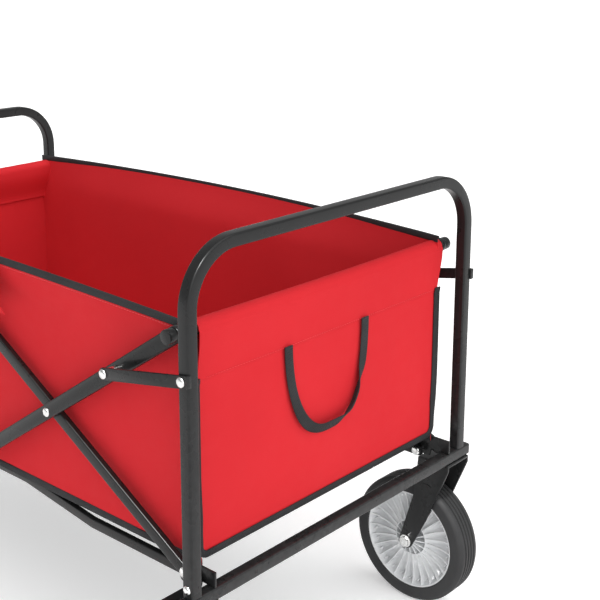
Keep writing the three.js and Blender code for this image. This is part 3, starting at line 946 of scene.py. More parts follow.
@dataclass
class EndFrame:
    """A bent square-tube bail on a cross bar, with the brackets at its feet."""

    end: End
    tube: float = 0.015
    corner: float = 0.0024
    bend: float = 0.064
    bend_steps: int = 16
    plug: float = 0.0025
    housing: float = 0.011
    housing_low: float = 0.2093
    kingpin_in: float = 0.0155
    wheel_y: float = 0.2383
    bracket_plate: tuple[float, float] = (0.217, 0.220)
    bracket_low: float = 0.238
    bracket_high: float = 0.256
    bracket_half: float = 0.007
    sheet: float = 0.0025
    pin: float = 0.0032

    def build(self) -> None:
        """Build the end frame."""
        self.bail()
        self.cross_bar()
        for side in Side:
            self.bracket(side)

    def bail(self) -> None:
        """The bail: up one post, round two bends and down the other."""
        layout = LAYOUT
        x = layout.post(self.end)
        shoulder = layout.bail_top - self.tube / 2 - self.bend
        inner = layout.post_y - self.bend
        rise = (0.0, 0.0, shoulder - layout.bail_foot)
        name = named(self.end, "bail_tube")
        tube = Workpiece.section(name, (x, -layout.post_y, layout.bail_foot), self.tube, self.corner)
        tube.extrude(rise).spin(self.bend_steps, QUARTER, (x, -inner, shoulder), X_AXIS)
        tube.extrude((0.0, 2 * inner, 0.0)).spin(self.bend_steps, QUARTER, (x, inner, shoulder), X_AXIS)
        tube.extrude((0.0, 0.0, -rise[2])).clean()
        tube.finish(FRAME_COAT, frame_body(self.end), [named(self.end, "bail")])

    def cross_bar(self) -> None:
        """The cross bar, with a plug in each end and, in front, the casters' housings."""
        layout = LAYOUT
        x = layout.post(self.end)
        z = (layout.cross_low + layout.cross_high) / 2
        reach = layout.cross_reach - self.plug
        name = named(self.end, "cross_tube")
        bar = Workpiece.section(name, (x, -reach, z), self.tube, self.corner, along_y=True)
        bar.extrude((0.0, 2 * reach, 0.0)).clean()
        if self.end is End.FRONT:
            for side in Side:
                base = (x - self.kingpin_in, side.value * self.wheel_y, self.housing_low)
                rise = (0.0, 0.0, layout.cross_high - self.housing_low)
                bar.join([cylinder("housing", base, self.housing, rise, 40, 0.001)])
        bar.finish(FRAME_COAT, frame_body(self.end), [named(self.end, "cross_bar")])
        plugs = []
        for side in Side:
            start = (x, side.value * (reach - 0.0005), z)
            plug = Workpiece.section("plug", start, self.tube - 0.0004, self.corner, along_y=True)
            plug.extrude((0.0, side.value * (self.plug + 0.0005), 0.0)).clean().soften(0.0009, 3)
            plugs.append(plug)
        united(named(self.end, "cross_tube_plugs"), plugs).finish(BLACK_PLASTIC, frame_body(self.end))

    def bracket(self, side: Side) -> None:
        """The folded channel at a post's foot, its cheek plate and its fasteners."""
        layout = LAYOUT
        face_in = layout.post_y - self.tube / 2 - GAP
        inner, outer = self.bracket_plate
        at = lambda inboard, y, z: layout.at(self.end, side, inboard, y, z)
        channel = Workpiece.block("channel", at(-self.bracket_half, inner, self.bracket_low),
                                  at(self.bracket_half, face_in, self.bracket_high))
        channel.pick(faces=lambda middle, normal: abs(normal.x) > 0.9).inset(self.sheet)
        with channel.editing():
            bpy.ops.mesh.bridge_edge_loops()
        channel.clean().soften(0.0009, 2)
        low = FLOOR_PIN[1] - 0.007
        reach = FLOOR_PIN[0] + 0.009
        plate_line = [(-self.bracket_half, self.bracket_high), (-self.bracket_half, self.bracket_low),
                      (ARM_PIN[0] - 0.009, self.bracket_low), (ARM_PIN[0] - 0.006, low),
                      (reach, low), (reach, self.bracket_high)]
        plate = Workpiece.outline("plate", [at(a, inner, z) for a, z in plate_line])
        plate.pick(points=lambda v: abs(v.x - layout.post(self.end)) > FLOOR_PIN[0]).round_corners(0.005, 4)
        plate.pick(faces=lambda middle, normal: True)
        plate.extrude((0.0, side.value * (outer - inner), 0.0)).clean().soften(0.0007, 2)
        name = named(self.end, "foot_bracket", side)
        node = named(self.end, "bracket", side)
        united(name, [channel, plate]).finish(FRAME_COAT, frame_body(self.end), [node])
        self.foot_rivets(side)

    def foot_rivets(self, side: Side) -> None:
        """The pins of the side arm and the floor arm, and the bolt through the post."""
        out = side.value
        at = lambda inboard, y, z: LAYOUT.at(self.end, side, inboard, y, z)
        span = lambda a, b: (0.0, out * (b - a), 0.0)
        arm_in, arm_z = ARM_PIN
        floor_in, floor_z = FLOOR_PIN
        arm_out = (INNER_LAYER if self.end is End.REAR else OUTER_LAYER)[1]
        floor_y = floor_arm_y(self.end)
        tube_out = LAYOUT.post_y + self.tube / 2
        pins = [
            cylinder("pin", at(arm_in, self.bracket_plate[1] - 0.001, arm_z), self.pin,
                     span(0.219, arm_out + 0.0013)),
            dome("head", at(arm_in, arm_out + GAP, arm_z), 0.0065, 0.0026, out),
            cylinder("floor_pin", at(floor_in, floor_y - 0.0053, floor_z), self.pin,
                     span(floor_y - 0.0053, 0.218)),
            dome("floor_head", at(floor_in, floor_y - 0.0043, floor_z), 0.006, 0.0024, -out),
            dome("bolt_head", at(0.0, tube_out, arm_z + 0.002), 0.005, 0.003, out),
        ]
        united(named(self.end, "foot_rivets", side), pins).finish(ZINC, frame_body(self.end))


# ---- wheels -------------------------------------------------------------------------------


@dataclass
class Wheel:
    """A solid tyre on a ribbed, dished rim, turning on a bolt between a fork's cheeks."""

    name: str
    side: Side
    centre: Vector
    body: str
    carrier: str
    radius: float = 0.090
    rim_radius: float = 0.070
    half_width: float = 0.020
    hub_half: float = 0.019
    bore: float = 0.0055
    steps: int = 96
    sectors: int = 26
    fins: int = 16
    cheek: float = 0.0245

    def build(self) -> None:
        """Build the tyre, the rim and the axle bolt."""
        self.tyre()
        self.rim()
        self.axle()

    def tyre(self) -> None:
        """Flat sidewalls, rounded shoulders and four grooves round the tread."""
        r, h = self.radius, self.half_width
        profile = [(self.rim_radius, -h + 0.0012), (self.rim_radius + 0.0016, -h), (r - 0.0062, -h),
                   (r - 0.0042, -h + 0.0007), (r - 0.0026, -h + 0.0024), (r - 0.0008, -h + 0.0038),
                   (r - 0.0001, -h + 0.0052)]
        pitch, groove, depth = 0.0062, 0.0015, 0.0019
        for i in range(4):
            y = (i - 1.5) * pitch
            profile += [(r, y - groove), (r - depth, y - groove * 0.5),
                        (r - depth, y + groove * 0.5), (r, y + groove)]
        profile += [(a, -b) for a, b in reversed(profile[:7])]
        ring = lathe(self.node("tyre_moulding"), profile, self.centre, self.steps)
        ring.finish(RUBBER, self.body, [self.node("tyre")], smooth=30.0)

    def node(self, word: str) -> str:
        """Name of one of this wheel's pieces or CAD nodes."""
        return sided(f"{self.name}_{word}", self.side)

    def rim(self) -> None:
        """The dished rim with its ribs, studs and finned hub, on both faces."""
        outer = self.rim_radius - GAP
        steps = self.sectors * 6
        face = [(0.0255, 0.0128), (0.0270, 0.0112), (0.030, 0.0104), (0.034, 0.0104), (0.039, 0.0104),
                (0.044, 0.0104), (0.050, 0.0106), (0.055, 0.0110), (0.060, 0.0118), (0.0640, 0.0132),
                (0.0662, 0.0152), (0.0674, 0.0176), (0.0682, 0.0184), (outer, 0.0184)]
        inner = [(0.0242, 0.0128), (0.0236, 0.0040), (self.bore + 0.001, 0.0040)]
        half = list(reversed(inner)) + face
        profile = [(r, y) for r, y in half] + [(r, -y) for r, y in reversed(half)]
        disc = lathe("rim_dish", profile, self.centre, steps)
        for vertex in disc.obj.data.vertices:
            self.scallop(vertex)
        hub_line = [(self.bore, -self.hub_half), (self.bore + 0.0034, -self.hub_half),
                    (self.bore + 0.0040, -self.hub_half + 0.0006),
                    (self.bore + 0.0040, self.hub_half - 0.0006),
                    (self.bore + 0.0034, self.hub_half), (self.bore, self.hub_half)]
        pieces = [disc, lathe("rim_hub", hub_line, self.centre, 36)]
        for out in (-1, 1):
            pieces += [self.ribs(out), self.hub_fins(out), self.studs(out)]
        whole = united(self.node("rim_moulding"), pieces)
        whole.finish(RIM_PLASTIC, self.body, [self.node("rim")], smooth=32.0)

    def scallop(self, vertex: bpy.types.MeshVertex) -> None:
        """Sink the dish between the ribs, most of all near the rim's edge."""
        spoke = vertex.co - self.centre
        reach = math.hypot(spoke.x, spoke.z)
        angle = math.atan2(spoke.z, spoke.x) * self.sectors
        fall = max(0.0, min(1.0, (reach - 0.030) / 0.02)) * max(0.0, min(1.0, (0.0672 - reach) / 0.004))
        sink = 0.0072 * fall * (0.5 - 0.5 * math.cos(angle + 0.9 * math.sin(angle)))
        if abs(spoke.y) > 0.005:
            vertex.co.y -= math.copysign(sink, spoke.y)

    def around(self, piece: Workpiece, count: int, start: float = 0.0) -> Workpiece:
        """Repeat a piece round the axle.

        Args:
            piece: The piece at angle 0.
            count: How many there are.
            start: Angle of the first.

        Returns:
            The whole ring as one piece.
        """
        to_axle = Matrix.Translation(self.centre)
        back = to_axle.inverted()
        turns = [Matrix.Rotation(start + 2 * math.pi * i / count, 4, "Y") for i in range(count)]
        copies = [piece.copy("copy", to_axle @ turn @ back) for turn in turns]
        bpy.data.objects.remove(piece.obj)
        return united("ring", copies)

    def ribs(self, out: int) -> Workpiece:
        """Thin radial ribs, rising a little towards the edge ring."""
        low, high = 0.0262, 0.0674
        line = [(low, 0.0060), (low, 0.0128), (0.040, 0.0124), (0.056, 0.0136),
                (high, 0.0176), (high, 0.0060)]
        points = [self.centre + Vector((r, out * y, -0.0008)) for r, y in line]
        rib = Workpiece.outline("rib", points).extrude((0.0, 0.0, 0.0016)).clean().soften(0.0005, 2)
        return self.around(rib, self.sectors)

    def hub_fins(self, out: int) -> Workpiece:
        """Short fins that brace the hub inside its ring."""
        foot = self.bore + 0.003
        line = [(foot, 0.003), (foot, self.hub_half - 0.0015), (0.0125, self.hub_half - 0.003),
                (0.0245, 0.0124), (0.0245, 0.003)]
        points = [self.centre + Vector((r, out * y, -0.0007)) for r, y in line]
        fin = Workpiece.outline("fin", points).extrude((0.0, 0.0, 0.0014)).clean()
        return self.around(fin, self.fins)

    def studs(self, out: int) -> Workpiece:
        """Small moulded studs near the edge, one between each pair of ribs."""
        base = self.centre + Vector((0.0622, out * 0.0070, 0.0))
        return self.around(dome("stud", base, 0.0017, 0.0078, out, 8), self.sectors, math.pi / self.sectors)

    def axle(self) -> None:
        """The bolt through the fork, with its head inboard and its nut outboard."""
        inward = -self.side.value
        head = self.centre + Vector((0.0, inward * (self.cheek + GAP), 0.0))
        nut = self.centre - Vector((0.0, inward * (self.cheek + GAP), 0.0))
        shaft = cylinder("shaft", self.centre + Vector((0.0, -self.cheek - 0.001, 0.0)), 0.005,
                         (0.0, 2 * self.cheek + 0.002, 0.0))
        pieces = [hexagon("head", head, 0.0076, 0.0052, inward),
                  hexagon("nut", nut, 0.0076, 0.0044, -inward), shaft]
        tip = cylinder("tip", nut, 0.0042, (0.0, -inward * 0.0056, 0.0), 24, 0.0006)
        united(self.node("axle"), pieces + [tip]).finish(ZINC, self.carrier, [self.node("axle_bolt")])


@dataclass
class Fork:
    """A pressed-steel fork: two cheeks hung from a crown plate."""

    name: str
    side: Side
    body: str
    wheel_y: float
    axle: Vector
    outline: Sequence[tuple[float, float]]
    top: float
    crown: tuple[float, float]
    cheek_in: float = 0.0215
    sheet: float = 0.003
    eye: float = 0.011
    emboss: tuple[float, float] = (0.0, 0.0)

    def build(self, extra: Sequence[Workpiece] = ()) -> None:
        """Build the fork.

        Args:
            extra: More pieces that belong to the pressing.
        """
        out = self.side.value
        pieces = list(extra)
        for inner in (-self.cheek_in - self.sheet, self.cheek_in):
            y = out * (self.wheel_y + inner)
            cheek = Workpiece.outline("cheek", [(x, y, z) for x, z in self.shape()])
            cheek.extrude((0.0, out * self.sheet, 0.0)).clean().soften(0.0009, 2)
            pieces.append(cheek)
            face = y if inner < 0 else y + out * self.sheet
            pieces.append(self.pressing(face, -out if inner < 0 else out))
        reach = self.cheek_in + self.sheet
        low = (self.crown[0], out * (self.wheel_y - reach), self.top - 0.004)
        high = (self.crown[1], out * (self.wheel_y + reach), self.top)
        pieces.append(Workpiece.block("crown", low, high).soften(0.0015, 3))
        node = sided(f"{self.name}_fork", self.side)
        name = sided(f"{self.name}_fork_pressing", self.side)
        united(name, pieces).finish(FRAME_COAT, self.body, [node])

    def shape(self) -> list[tuple[float, float]]:
        """The cheek's outline: the round eye at the axle, then the drawn shoulders."""
        start, end = self.outline[0], self.outline[-1]
        facing = 1 if start[0] > end[0] else -1
        first, last = self.tangent(start, facing), self.tangent(end, -facing)
        if facing > 0:
            turn = last - 2 * math.pi - first if last > first else last - first
        else:
            turn = last + 2 * math.pi - first if last < first else last - first
        steps = 14
        sweep = [first + turn * i / steps for i in range(steps + 1)]
        arc = [(self.axle.x + self.eye * math.cos(a), self.axle.z + self.eye * math.sin(a)) for a in sweep]
        return arc + list(reversed(self.outline))

    def tangent(self, point: tuple[float, float], facing: int) -> float:
        """Angle on the eye where a straight edge from a point touches it.

        Args:
            point: X and Z of the edge's other end.
            facing: Sign of X of the eye's side that the edge touches.

        Returns:
            The angle, in radians.
        """
        dx, dz = point[0] - self.axle.x, point[1] - self.axle.z
        way = math.atan2(dz, dx)
        swing = math.acos(self.eye / math.hypot(dx, dz))
        return max((way - swing, way + swing), key=lambda a: facing * math.cos(a))

    def pressing(self, face: float, out: int) -> Workpiece:
        """A small raised arc stamped in the cheek."""
        centre = Vector((self.emboss[0], face, self.emboss[1]))
        route = [centre + Vector((0.0075 * math.cos(a), 0.0, 0.0040 * math.sin(a)))
                 for a in [math.pi * (0.1 + 0.8 * i / 12) for i in range(13)]]
        normal = Vector((0.0, out, 0.0))
        return strip("stamp", route, lambda t: normal, 0.0020, 0.0018)


# ---- side arms ----------------------------------------------------------------------------


@dataclass
class SideArms:
    """The scissor arms, stays, top rod and floor arms at one end, on both sides."""

    end: End
    inner: tuple[float, float] = INNER_LAYER
    outer: tuple[float, float] = OUTER_LAYER
    inner_half: float = 0.0075
    outer_half: float = 0.0082
    rod_end_half: float = 0.0092
    low_pivot: tuple[float, float] = ARM_PIN
    rod: tuple[float, float] = (0.030, 0.517)
    rod_radius: float = 0.007
    cap_length: float = 0.0105
    crossing: tuple[float, float] = (0.251, 0.3701)
    centre_top_z: float = 0.4746
    centre_low_z: float = 0.2469
    stay_reach: float = 0.109
    stay_post_z: float = 0.4793
    stay_layer: tuple[float, float] = (0.254, 0.257)
    stay_half: float = 0.007
    tail: float = 0.0155
    head: float = 0.0055
    head_height: float = 0.0026
    floor_height: float = 0.012
    floor_width: float = 0.008
    floor_bend: float = 0.019

    def build(self) -> None:
        """Build the arms of this end."""
        for side in Side:
            self.rising(side)
            self.falling(side)
            self.stay(side)
            self.floor_arm(side)
        self.top_rod()

    def at(self, side: Side, place: tuple[float, float], y: float) -> Vector:
        """A point in the side's plane."""
        return LAYOUT.at(self.end, side, place[0], y, place[1])

    def body(self, word: str) -> str:
        """Name of one of this end's bodies."""
        return named(self.end, word)

    def stay_at(self) -> tuple[float, float]:
        """The stay's pivot on the falling arm."""
        fall = math.atan2(self.rod[1] - self.centre_low_z, LAYOUT.half - self.rod[0])
        x, z = self.rod
        return (x + self.stay_reach * math.cos(fall), z - self.stay_reach * math.sin(fall))

    def heads(self, side: Side, place: tuple[float, float],
              faces: Sequence[tuple[float, int]]) -> list[Workpiece]:
        """Rivet heads at a pivot.

        Args:
            side: Which side.
            place: The pivot.
            faces: Distance from the centre plane of each seat, and 1 for outboard or -1 for inboard.

        Returns:
            The heads.
        """
        return [dome("head", self.at(side, place, y), self.head, self.head_height, out * side.value)
                for y, out in faces]

    def rising(self, side: Side) -> None:
        """The arm that rises from the post's foot to the middle of the side."""
        layer = self.inner if self.end is End.REAR else self.outer
        half = self.inner_half if self.end is End.REAR else self.outer_half
        top = (LAYOUT.half, self.centre_top_z)
        rise = math.atan2(top[1] - self.low_pivot[1], top[0] - self.low_pivot[0])
        extra = self.tail if self.end is End.REAR else 0.0
        tail = (self.low_pivot[0] - extra * math.cos(rise), self.low_pivot[1] - extra * math.sin(rise))
        bar = flat_bar(named(self.end, "rising_bar", side), self.at(side, tail, layer[0]),
                       self.at(side, top, layer[0]), (half, half), side.value * (layer[1] - layer[0]))
        bar.finish(FRAME_COAT, self.body("rising_arms"), [named(self.end, "rising_arm", side)])
        if self.end is End.REAR:
            heads = self.heads(side, top, [(layer[0], -1), (self.outer[1] + GAP, 1)])
        else:
            heads = self.heads(side, self.crossing, [(self.inner[0] - GAP, -1), (layer[1], 1)])
        united(named(self.end, "rising_rivets", side), heads).finish(ZINC, self.body("rising_arms"))

    def falling(self, side: Side) -> None:
        """The arm that falls from the top rod to the middle of the side, low down."""
        rear = self.end is End.REAR
        layer = self.outer if rear else self.inner
        half = self.outer_half if rear else self.inner_half + 0.0015
        low = (LAYOUT.half, self.centre_low_z)
        bar = flat_bar(named(self.end, "falling_bar", side), self.at(side, self.rod, layer[0]),
                       self.at(side, low, layer[0]), (self.rod_end_half, half),
                       side.value * (layer[1] - layer[0]))
        bar.finish(FRAME_COAT, self.body("falling_arms"), [named(self.end, "falling_arm", side)])
        place = self.stay_at()
        pieces = self.heads(side, place, [(self.stay_layer[1] + GAP, 1)])
        pieces.append(cylinder("spacer", self.at(side, place, layer[1]), 0.0046,
                               (0.0, side.value * (self.stay_layer[0] - GAP - layer[1]), 0.0)))
        if rear:
            pieces += self.heads(side, self.crossing, [(self.inner[0] - GAP, -1), (layer[1], 1)])
            pieces += self.heads(side, low, [(layer[1], 1)])
            start = self.at(side, low, self.inner[0] - 0.0023)
            pieces.append(cylinder("washer", start, 0.008, (0.0, side.value * 0.0020, 0.0)))
        united(named(self.end, "falling_rivets", side), pieces).finish(ZINC, self.body("falling_arms"))

    def stay(self, side: Side) -> None:
        """The short stay from the falling arm to the outside of the post."""
        place, post = self.stay_at(), (0.0, self.stay_post_z)
        y = self.stay_layer[0]
        first, second = self.at(side, place, y), self.at(side, post, y)
        way = math.atan2(second.z - first.z, second.x - first.x)
        along = Vector((math.cos(way), 0.0, math.sin(way)))
        across = Vector((-math.sin(way), 0.0, math.cos(way)))
        points = [first + (along * math.cos(a) + across * math.sin(a)) * self.stay_half
                  for a in [QUARTER + math.pi * i / 10 for i in range(11)]]
        square_end = second + along * 0.0074
        points += [square_end - across * self.stay_half, square_end + across * self.stay_half]
        name = named(self.end, "stay_bar", side)
        bar = Workpiece.outline(name, points).extrude((0.0, side.value * (self.stay_layer[1] - y), 0.0))
        bar.clean().soften(0.0007, 2, 50.0)
        lip = second + along * 0.0072 + Vector((0.0, side.value * 0.003, 0.0))
        down = Vector((0.0, side.value * 0.006, 0.0))
        fold = Workpiece.block("fold", lip - across * self.stay_half,
                               lip + across * self.stay_half + along * 0.0014 - down)
        bar.join([fold.soften(0.0005, 2)])
        bar.finish(FRAME_COAT, self.body("stays"), [named(self.end, "stay", side)])
        heads = self.heads(side, post, [(self.stay_layer[1], 1)])
        united(named(self.end, "stay_rivet", side), heads).finish(ZINC, self.body("stays"))

    def top_rod(self) -> None:
        """The rod through the sleeve, with a cap at each end."""
        reach = self.outer[1] + 0.0025
        start = self.at(Side.RIGHT, self.rod, reach - 0.001)
        rod = cylinder("rod", start, self.rod_radius, (0.0, 2 * reach - 0.002, 0.0), 32)
        for side in Side:
            cap = self.at(side, self.rod, self.outer[1] + 0.0004)
            rod.join([cylinder("cap", cap, self.rod_radius + 0.0012,
                               (0.0, side.value * self.cap_length, 0.0), 32, 0.0008)])
        rod.obj.name = named(self.end, "sleeve_rod")
        rod.finish(FRAME_COAT, cloth_body(self.end), [named(self.end, "top_rod")])

    def floor_arm(self, side: Side) -> None:
        """The floor arm, bent inwards so that the two ends' arms pass side by side."""
        y = floor_arm_y(self.end)
        half = self.floor_width / 2
        tip = y - self.floor_bend
        route = [(FLOOR_PIN[0] - 0.007, y), (LAYOUT.half - 0.230, y), (LAYOUT.half - 0.075, tip),
                 (LAYOUT.half + 0.008, tip)]
        low = FLOOR_PIN[1] - self.floor_height / 2
        line = [(x, c - half) for x, c in route] + [(x, c + half) for x, c in reversed(route)]
        name = named(self.end, "floor_bar", side)
        bar = Workpiece.outline(name, [LAYOUT.at(self.end, side, x, c, low) for x, c in line])
        bar.extrude((0.0, 0.0, self.floor_height)).clean().soften(0.0014, 3, 40.0)
        bar.finish(FRAME_COAT, self.body("floor_arms"), [named(self.end, "floor_arm", side)])
        out = 1 if self.end is End.REAR else -1
        seat = (LAYOUT.half, FLOOR_PIN[1])
        heads = self.heads(side, seat, [(tip + out * half, out)])
        united(named(self.end, "floor_rivet", side), heads).finish(ZINC, self.body("floor_arms"))


# ---- tub ----------------------------------------------------------------------------------


def ease(value: float, low: float, high: float) -> float:
    """A smooth step from 0 at low to 1 at high."""
    t = max(0.0, min(1.0, (value - low) / (high - low)))
    return t * t * (3 - 2 * t)


@dataclass
class Tub:
    """The fabric tub: two side panels, two end panels with rod sleeves, a floor and a mat."""

    half_length: float = 0.4175
    low: float = 0.2515
    end_low: float = 0.2640
    end_corner: float = 0.013
    side_height: float = 0.280
    side_y: float = 0.2132
    corner_y: float = 0.2172
    middle_y: float = 0.2368
    flare_low: float = 0.478
    left_edge: tuple[float, float] = (0.5234, 0.5430)
    right_edge: tuple[float, float] = (0.5325, 0.5372)
    cloth: float = 0.0012
    seam_z: float = 0.462
    rod: tuple[float, float] = (0.4075, 0.517)
    roll: float = 0.0090
    end_half: tuple[float, float] = (0.2128, 0.2160)
    binding: float = 0.0092
    binding_thick: float = 0.0032
    flange: float = 0.0115
    flap_half: float = 0.1235
    flap_top_half: float = 0.096
    flap_low: float = 0.478
    mat_base: float = 0.2533
    mat_half: tuple[float, float] = (0.412, 0.209)
    mat_thick: float = 0.008
    creases: tuple[float, ...] = (-0.206, 0.0, 0.206)
    strap_half: float = 0.069
    strap_drop: float = 0.114
    strap_width: float = 0.0132
    strap_shift: float = 0.009
    keep: float = 0.3675
    shrinking: list[bpy.types.Object] = field(default_factory=list)

    def build(self) -> None:
        """Build the tub."""
        for side in Side:
            self.side_panel(side)
            self.flap(side)
        self.floor()
        self.mat()
        for end in End:
            self.end_panel(end)
            self.strap(end)
        for obj in self.shrinking:
            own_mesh(obj)

    # -- sides --

    def top_edge(self, side: Side, u: float) -> tuple[float, float]:
        """Height and offset of a side's top edge at u from 0, rear, to 1, front."""
        corner, middle = self.left_edge if side is Side.LEFT else self.right_edge
        swell = math.sin(math.pi * u) ** 0.85
        return (corner + (middle - corner) * swell,
                self.corner_y + (self.middle_y - self.corner_y) * swell)

    def side_point(self, side: Side, u: float, v: float) -> Vector:
        """A point of a side panel.

        Args:
            side: Which side.
            u: From 0 at the rear to 1 at the front.
            v: From 0 at the bottom to 1 at the top edge.

        Returns:
            The point.
        """
        x = LAYOUT.middle + self.half_length * (2 * u - 1)
        top_z, top_y = self.top_edge(side, u)
        z = self.low + v * (top_z - self.low)
        straight = self.side_y + 0.0030 * ease(v, 0.0, 0.5)
        lip = top_z + 0.012
        flare = (top_y - straight) * ease(z, self.flare_low, lip) / max(0.2, ease(top_z, self.flare_low, lip))
        inside = math.sin(math.pi * u) * math.sin(math.pi * min(1.0, v * 1.15))
        belly = -0.0035 * inside
        ripple = 0.0022 * inside * noise.noise(Vector((x * 7.0, side.value * 3.1, z * 9.0)))
        slant = 0.6 if u > 0.5 else -0.6
        pull = 0.0012 * math.sin(34.0 * (x * slant + z)) * ease(v, 0.35, 0.9)
        pull = pull * (1 - math.sin(math.pi * u)) * math.sin(math.pi * v)
        y = straight + flare + belly + ripple + pull
        return Vector((x, side.value * y, z))

    def side_panel(self, side: Side) -> None:
        """One side panel with its top and bottom bindings and the top one's stitches."""
        width, height = 2 * self.half_length, self.side_height
        panel = Workpiece.grid(sided("side_panel", side), 120, 40, lambda u, v: self.side_point(side, u, v),
                               (width, height))
        panel.thicken(self.cloth)
        replaced = ["tub_fabric"] if side is Side.LEFT else []
        obj = panel.finish(CANVAS, "tub", replaced, smooth=60.0)
        outward = Vector((0.0, side.value, 0.0))
        edge = [self.side_point(side, i / 90, 1.0) - Z_AXIS * (self.binding / 2 - 0.0016) for i in range(91)]
        bottom = [self.side_point(side, i / 60, 0.0) + Z_AXIS * (self.binding / 2 - 0.001) for i in range(61)]
        top, low = (
            strip(sided(word, side), route, lambda t: outward, self.binding, self.binding_thick)
            .finish(BINDING, "tub", smooth=60.0)
            for word, route in (("side_top_binding", edge), ("side_bottom_binding", bottom))
        )
        row = [p - Z_AXIS * 0.0062 + outward * 0.0011 for p in edge]
        sewn = stitches(sided("side_top_stitches", side), row, lambda t: outward)
        sewn_obj = sewn.finish(RED_THREAD, "tub")
        self.shrinking += [obj, top, low, sewn_obj]

    def flap(self, side: Side) -> None:
        """The flap that hangs from the top binding, outside the middle pivot."""
        middle_z = self.top_edge(side, 0.5)[0]
        top = middle_z - 0.0030
        outer_y = self.middle_y + 0.0020
        drop = top - self.flap_low

        def profile(v: float) -> tuple[float, float]:
            """Offset and height down the flap, which stands off over the pivot's rivet."""
            stand = 0.0058 * ease(v, 0.0, 0.35)
            return (outer_y + stand + 0.0012 * math.sin(math.pi * v), top - drop * v)

        def place(u: float, v: float) -> Vector:
            """A point of the flap."""
            y, z = profile(v)
            half = self.flap_top_half + (self.flap_half - self.flap_top_half) * v ** 2.2
            x = LAYOUT.middle + half * (2 * u - 1)
            lift = self.top_edge(side, 0.5 + (2 * u - 1) * half / (2 * self.half_length))[0] - middle_z
            ripple = 0.0010 * noise.noise(Vector((x * 22.0, side.value, z * 18.0)))
            return Vector((x, side.value * (y + ripple), z + lift * (1 - 0.4 * v)))

        size = (2 * self.flap_half, drop)
        cloth = Workpiece.grid(sided("side_flap_cloth", side), 40, 30, place, size).thicken(self.cloth)
        obj = cloth.finish(CANVAS, "tub", [sided("side_flap", side)], smooth=60.0)
        outward = Vector((0.0, side.value, 0.0))
        line = [place(0.03, 0.1 + 0.82 * i / 20) for i in range(20)]
        line += [place(0.03 + 0.94 * i / 40, 0.92) for i in range(41)]
        line += [place(0.97, 0.92 - 0.82 * i / 20) for i in range(1, 21)]
        raised = [p + outward * 0.0009 for p in line]
        sewn = stitches(sided("side_flap_stitches", side), raised, lambda t: outward)
        sewn_obj = sewn.finish(RED_THREAD, "tub")
        self.shrinking += [obj, sewn_obj]

    # -- floor --

    def turn_up(self, x: float) -> float:
        """Rise of the base cloth and the mat towards the end panels' bottom edges."""
        return (self.end_low - self.low) * ease(abs(x), self.half_length - 0.055, self.half_length - 0.004)

    def floor(self) -> None:
        """The tub's base cloth, sagging slightly between the side panels."""
        half_x, half_y = self.half_length - 0.001, self.side_y - 0.0005

        def place(u: float, v: float) -> Vector:
            """A point of the floor."""
            x, y = half_x * (2 * u - 1), half_y * (2 * v - 1)
            sag = -0.0012 * math.sin(math.pi * u) * math.sin(math.pi * v)
            return Vector((LAYOUT.middle + x, y, self.low + sag + self.turn_up(x)))

        size = (2 * half_x, 2 * half_y)
        base = Workpiece.grid("tub_floor", 60, 32, place, size).thicken(self.cloth)
        obj = base.finish(BASE_CLOTH, "tub", smooth=60.0)
        self.shrinking.append(obj)

    def mat(self) -> None:
        """The folding mat: four covered boards joined by sewn creases."""
        half_x, half_y = self.mat_half
        base = self.mat_base + 0.0004

        def height(x: float, y: float) -> float:
            """Thickness of the mat at a place."""
            crease = min(abs(x - c) for c in self.creases)
            edge = min(half_x - abs(x), half_y - abs(y))
            crown = 0.75 + 0.25 * ease(edge, 0.0, 0.05)
            sewn = 0.30 + 0.70 * ease(crease, 0.0015, 0.012)
            return self.mat_thick * crown * sewn * (0.45 + 0.55 * ease(edge, 0.0, 0.006))

        def top(u: float, v: float) -> Vector:
            """A point of the mat's top."""
            x, y = half_x * (2 * u - 1), half_y * (2 * v - 1)
            wrinkle = 0.0004 * noise.noise(Vector((x * 14.0, y * 14.0, 0.0)))
            return Vector((LAYOUT.middle + x, y, base + height(x, y) + wrinkle + self.turn_up(x)))

        def bottom(u: float, v: float) -> Vector:
            """A point of the mat's underside."""
            x, y = half_x * (2 * u - 1), half_y * (2 * v - 1)
            return Vector((LAYOUT.middle + x, y, base + self.turn_up(x)))

        size = (2 * half_x, 2 * half_y)
        upper = Workpiece.grid("floor_mat_cover", 206, 60, top, size)
        upper.join([Workpiece.grid("mat_base", 206, 60, bottom, size)])
        with upper.editing():
            bpy.ops.mesh.select_all(action="DESELECT")
            bpy.ops.mesh.select_non_manifold(extend=False, use_boundary=True, use_wire=False,
                                             use_multi_face=False, use_non_contiguous=False, use_verts=False)
            bpy.ops.mesh.bridge_edge_loops()
        obj = upper.clean().finish(CANVAS, "tub", ["floor_mat"], smooth=60.0)
        self.shrinking.append(obj)

    # -- ends --

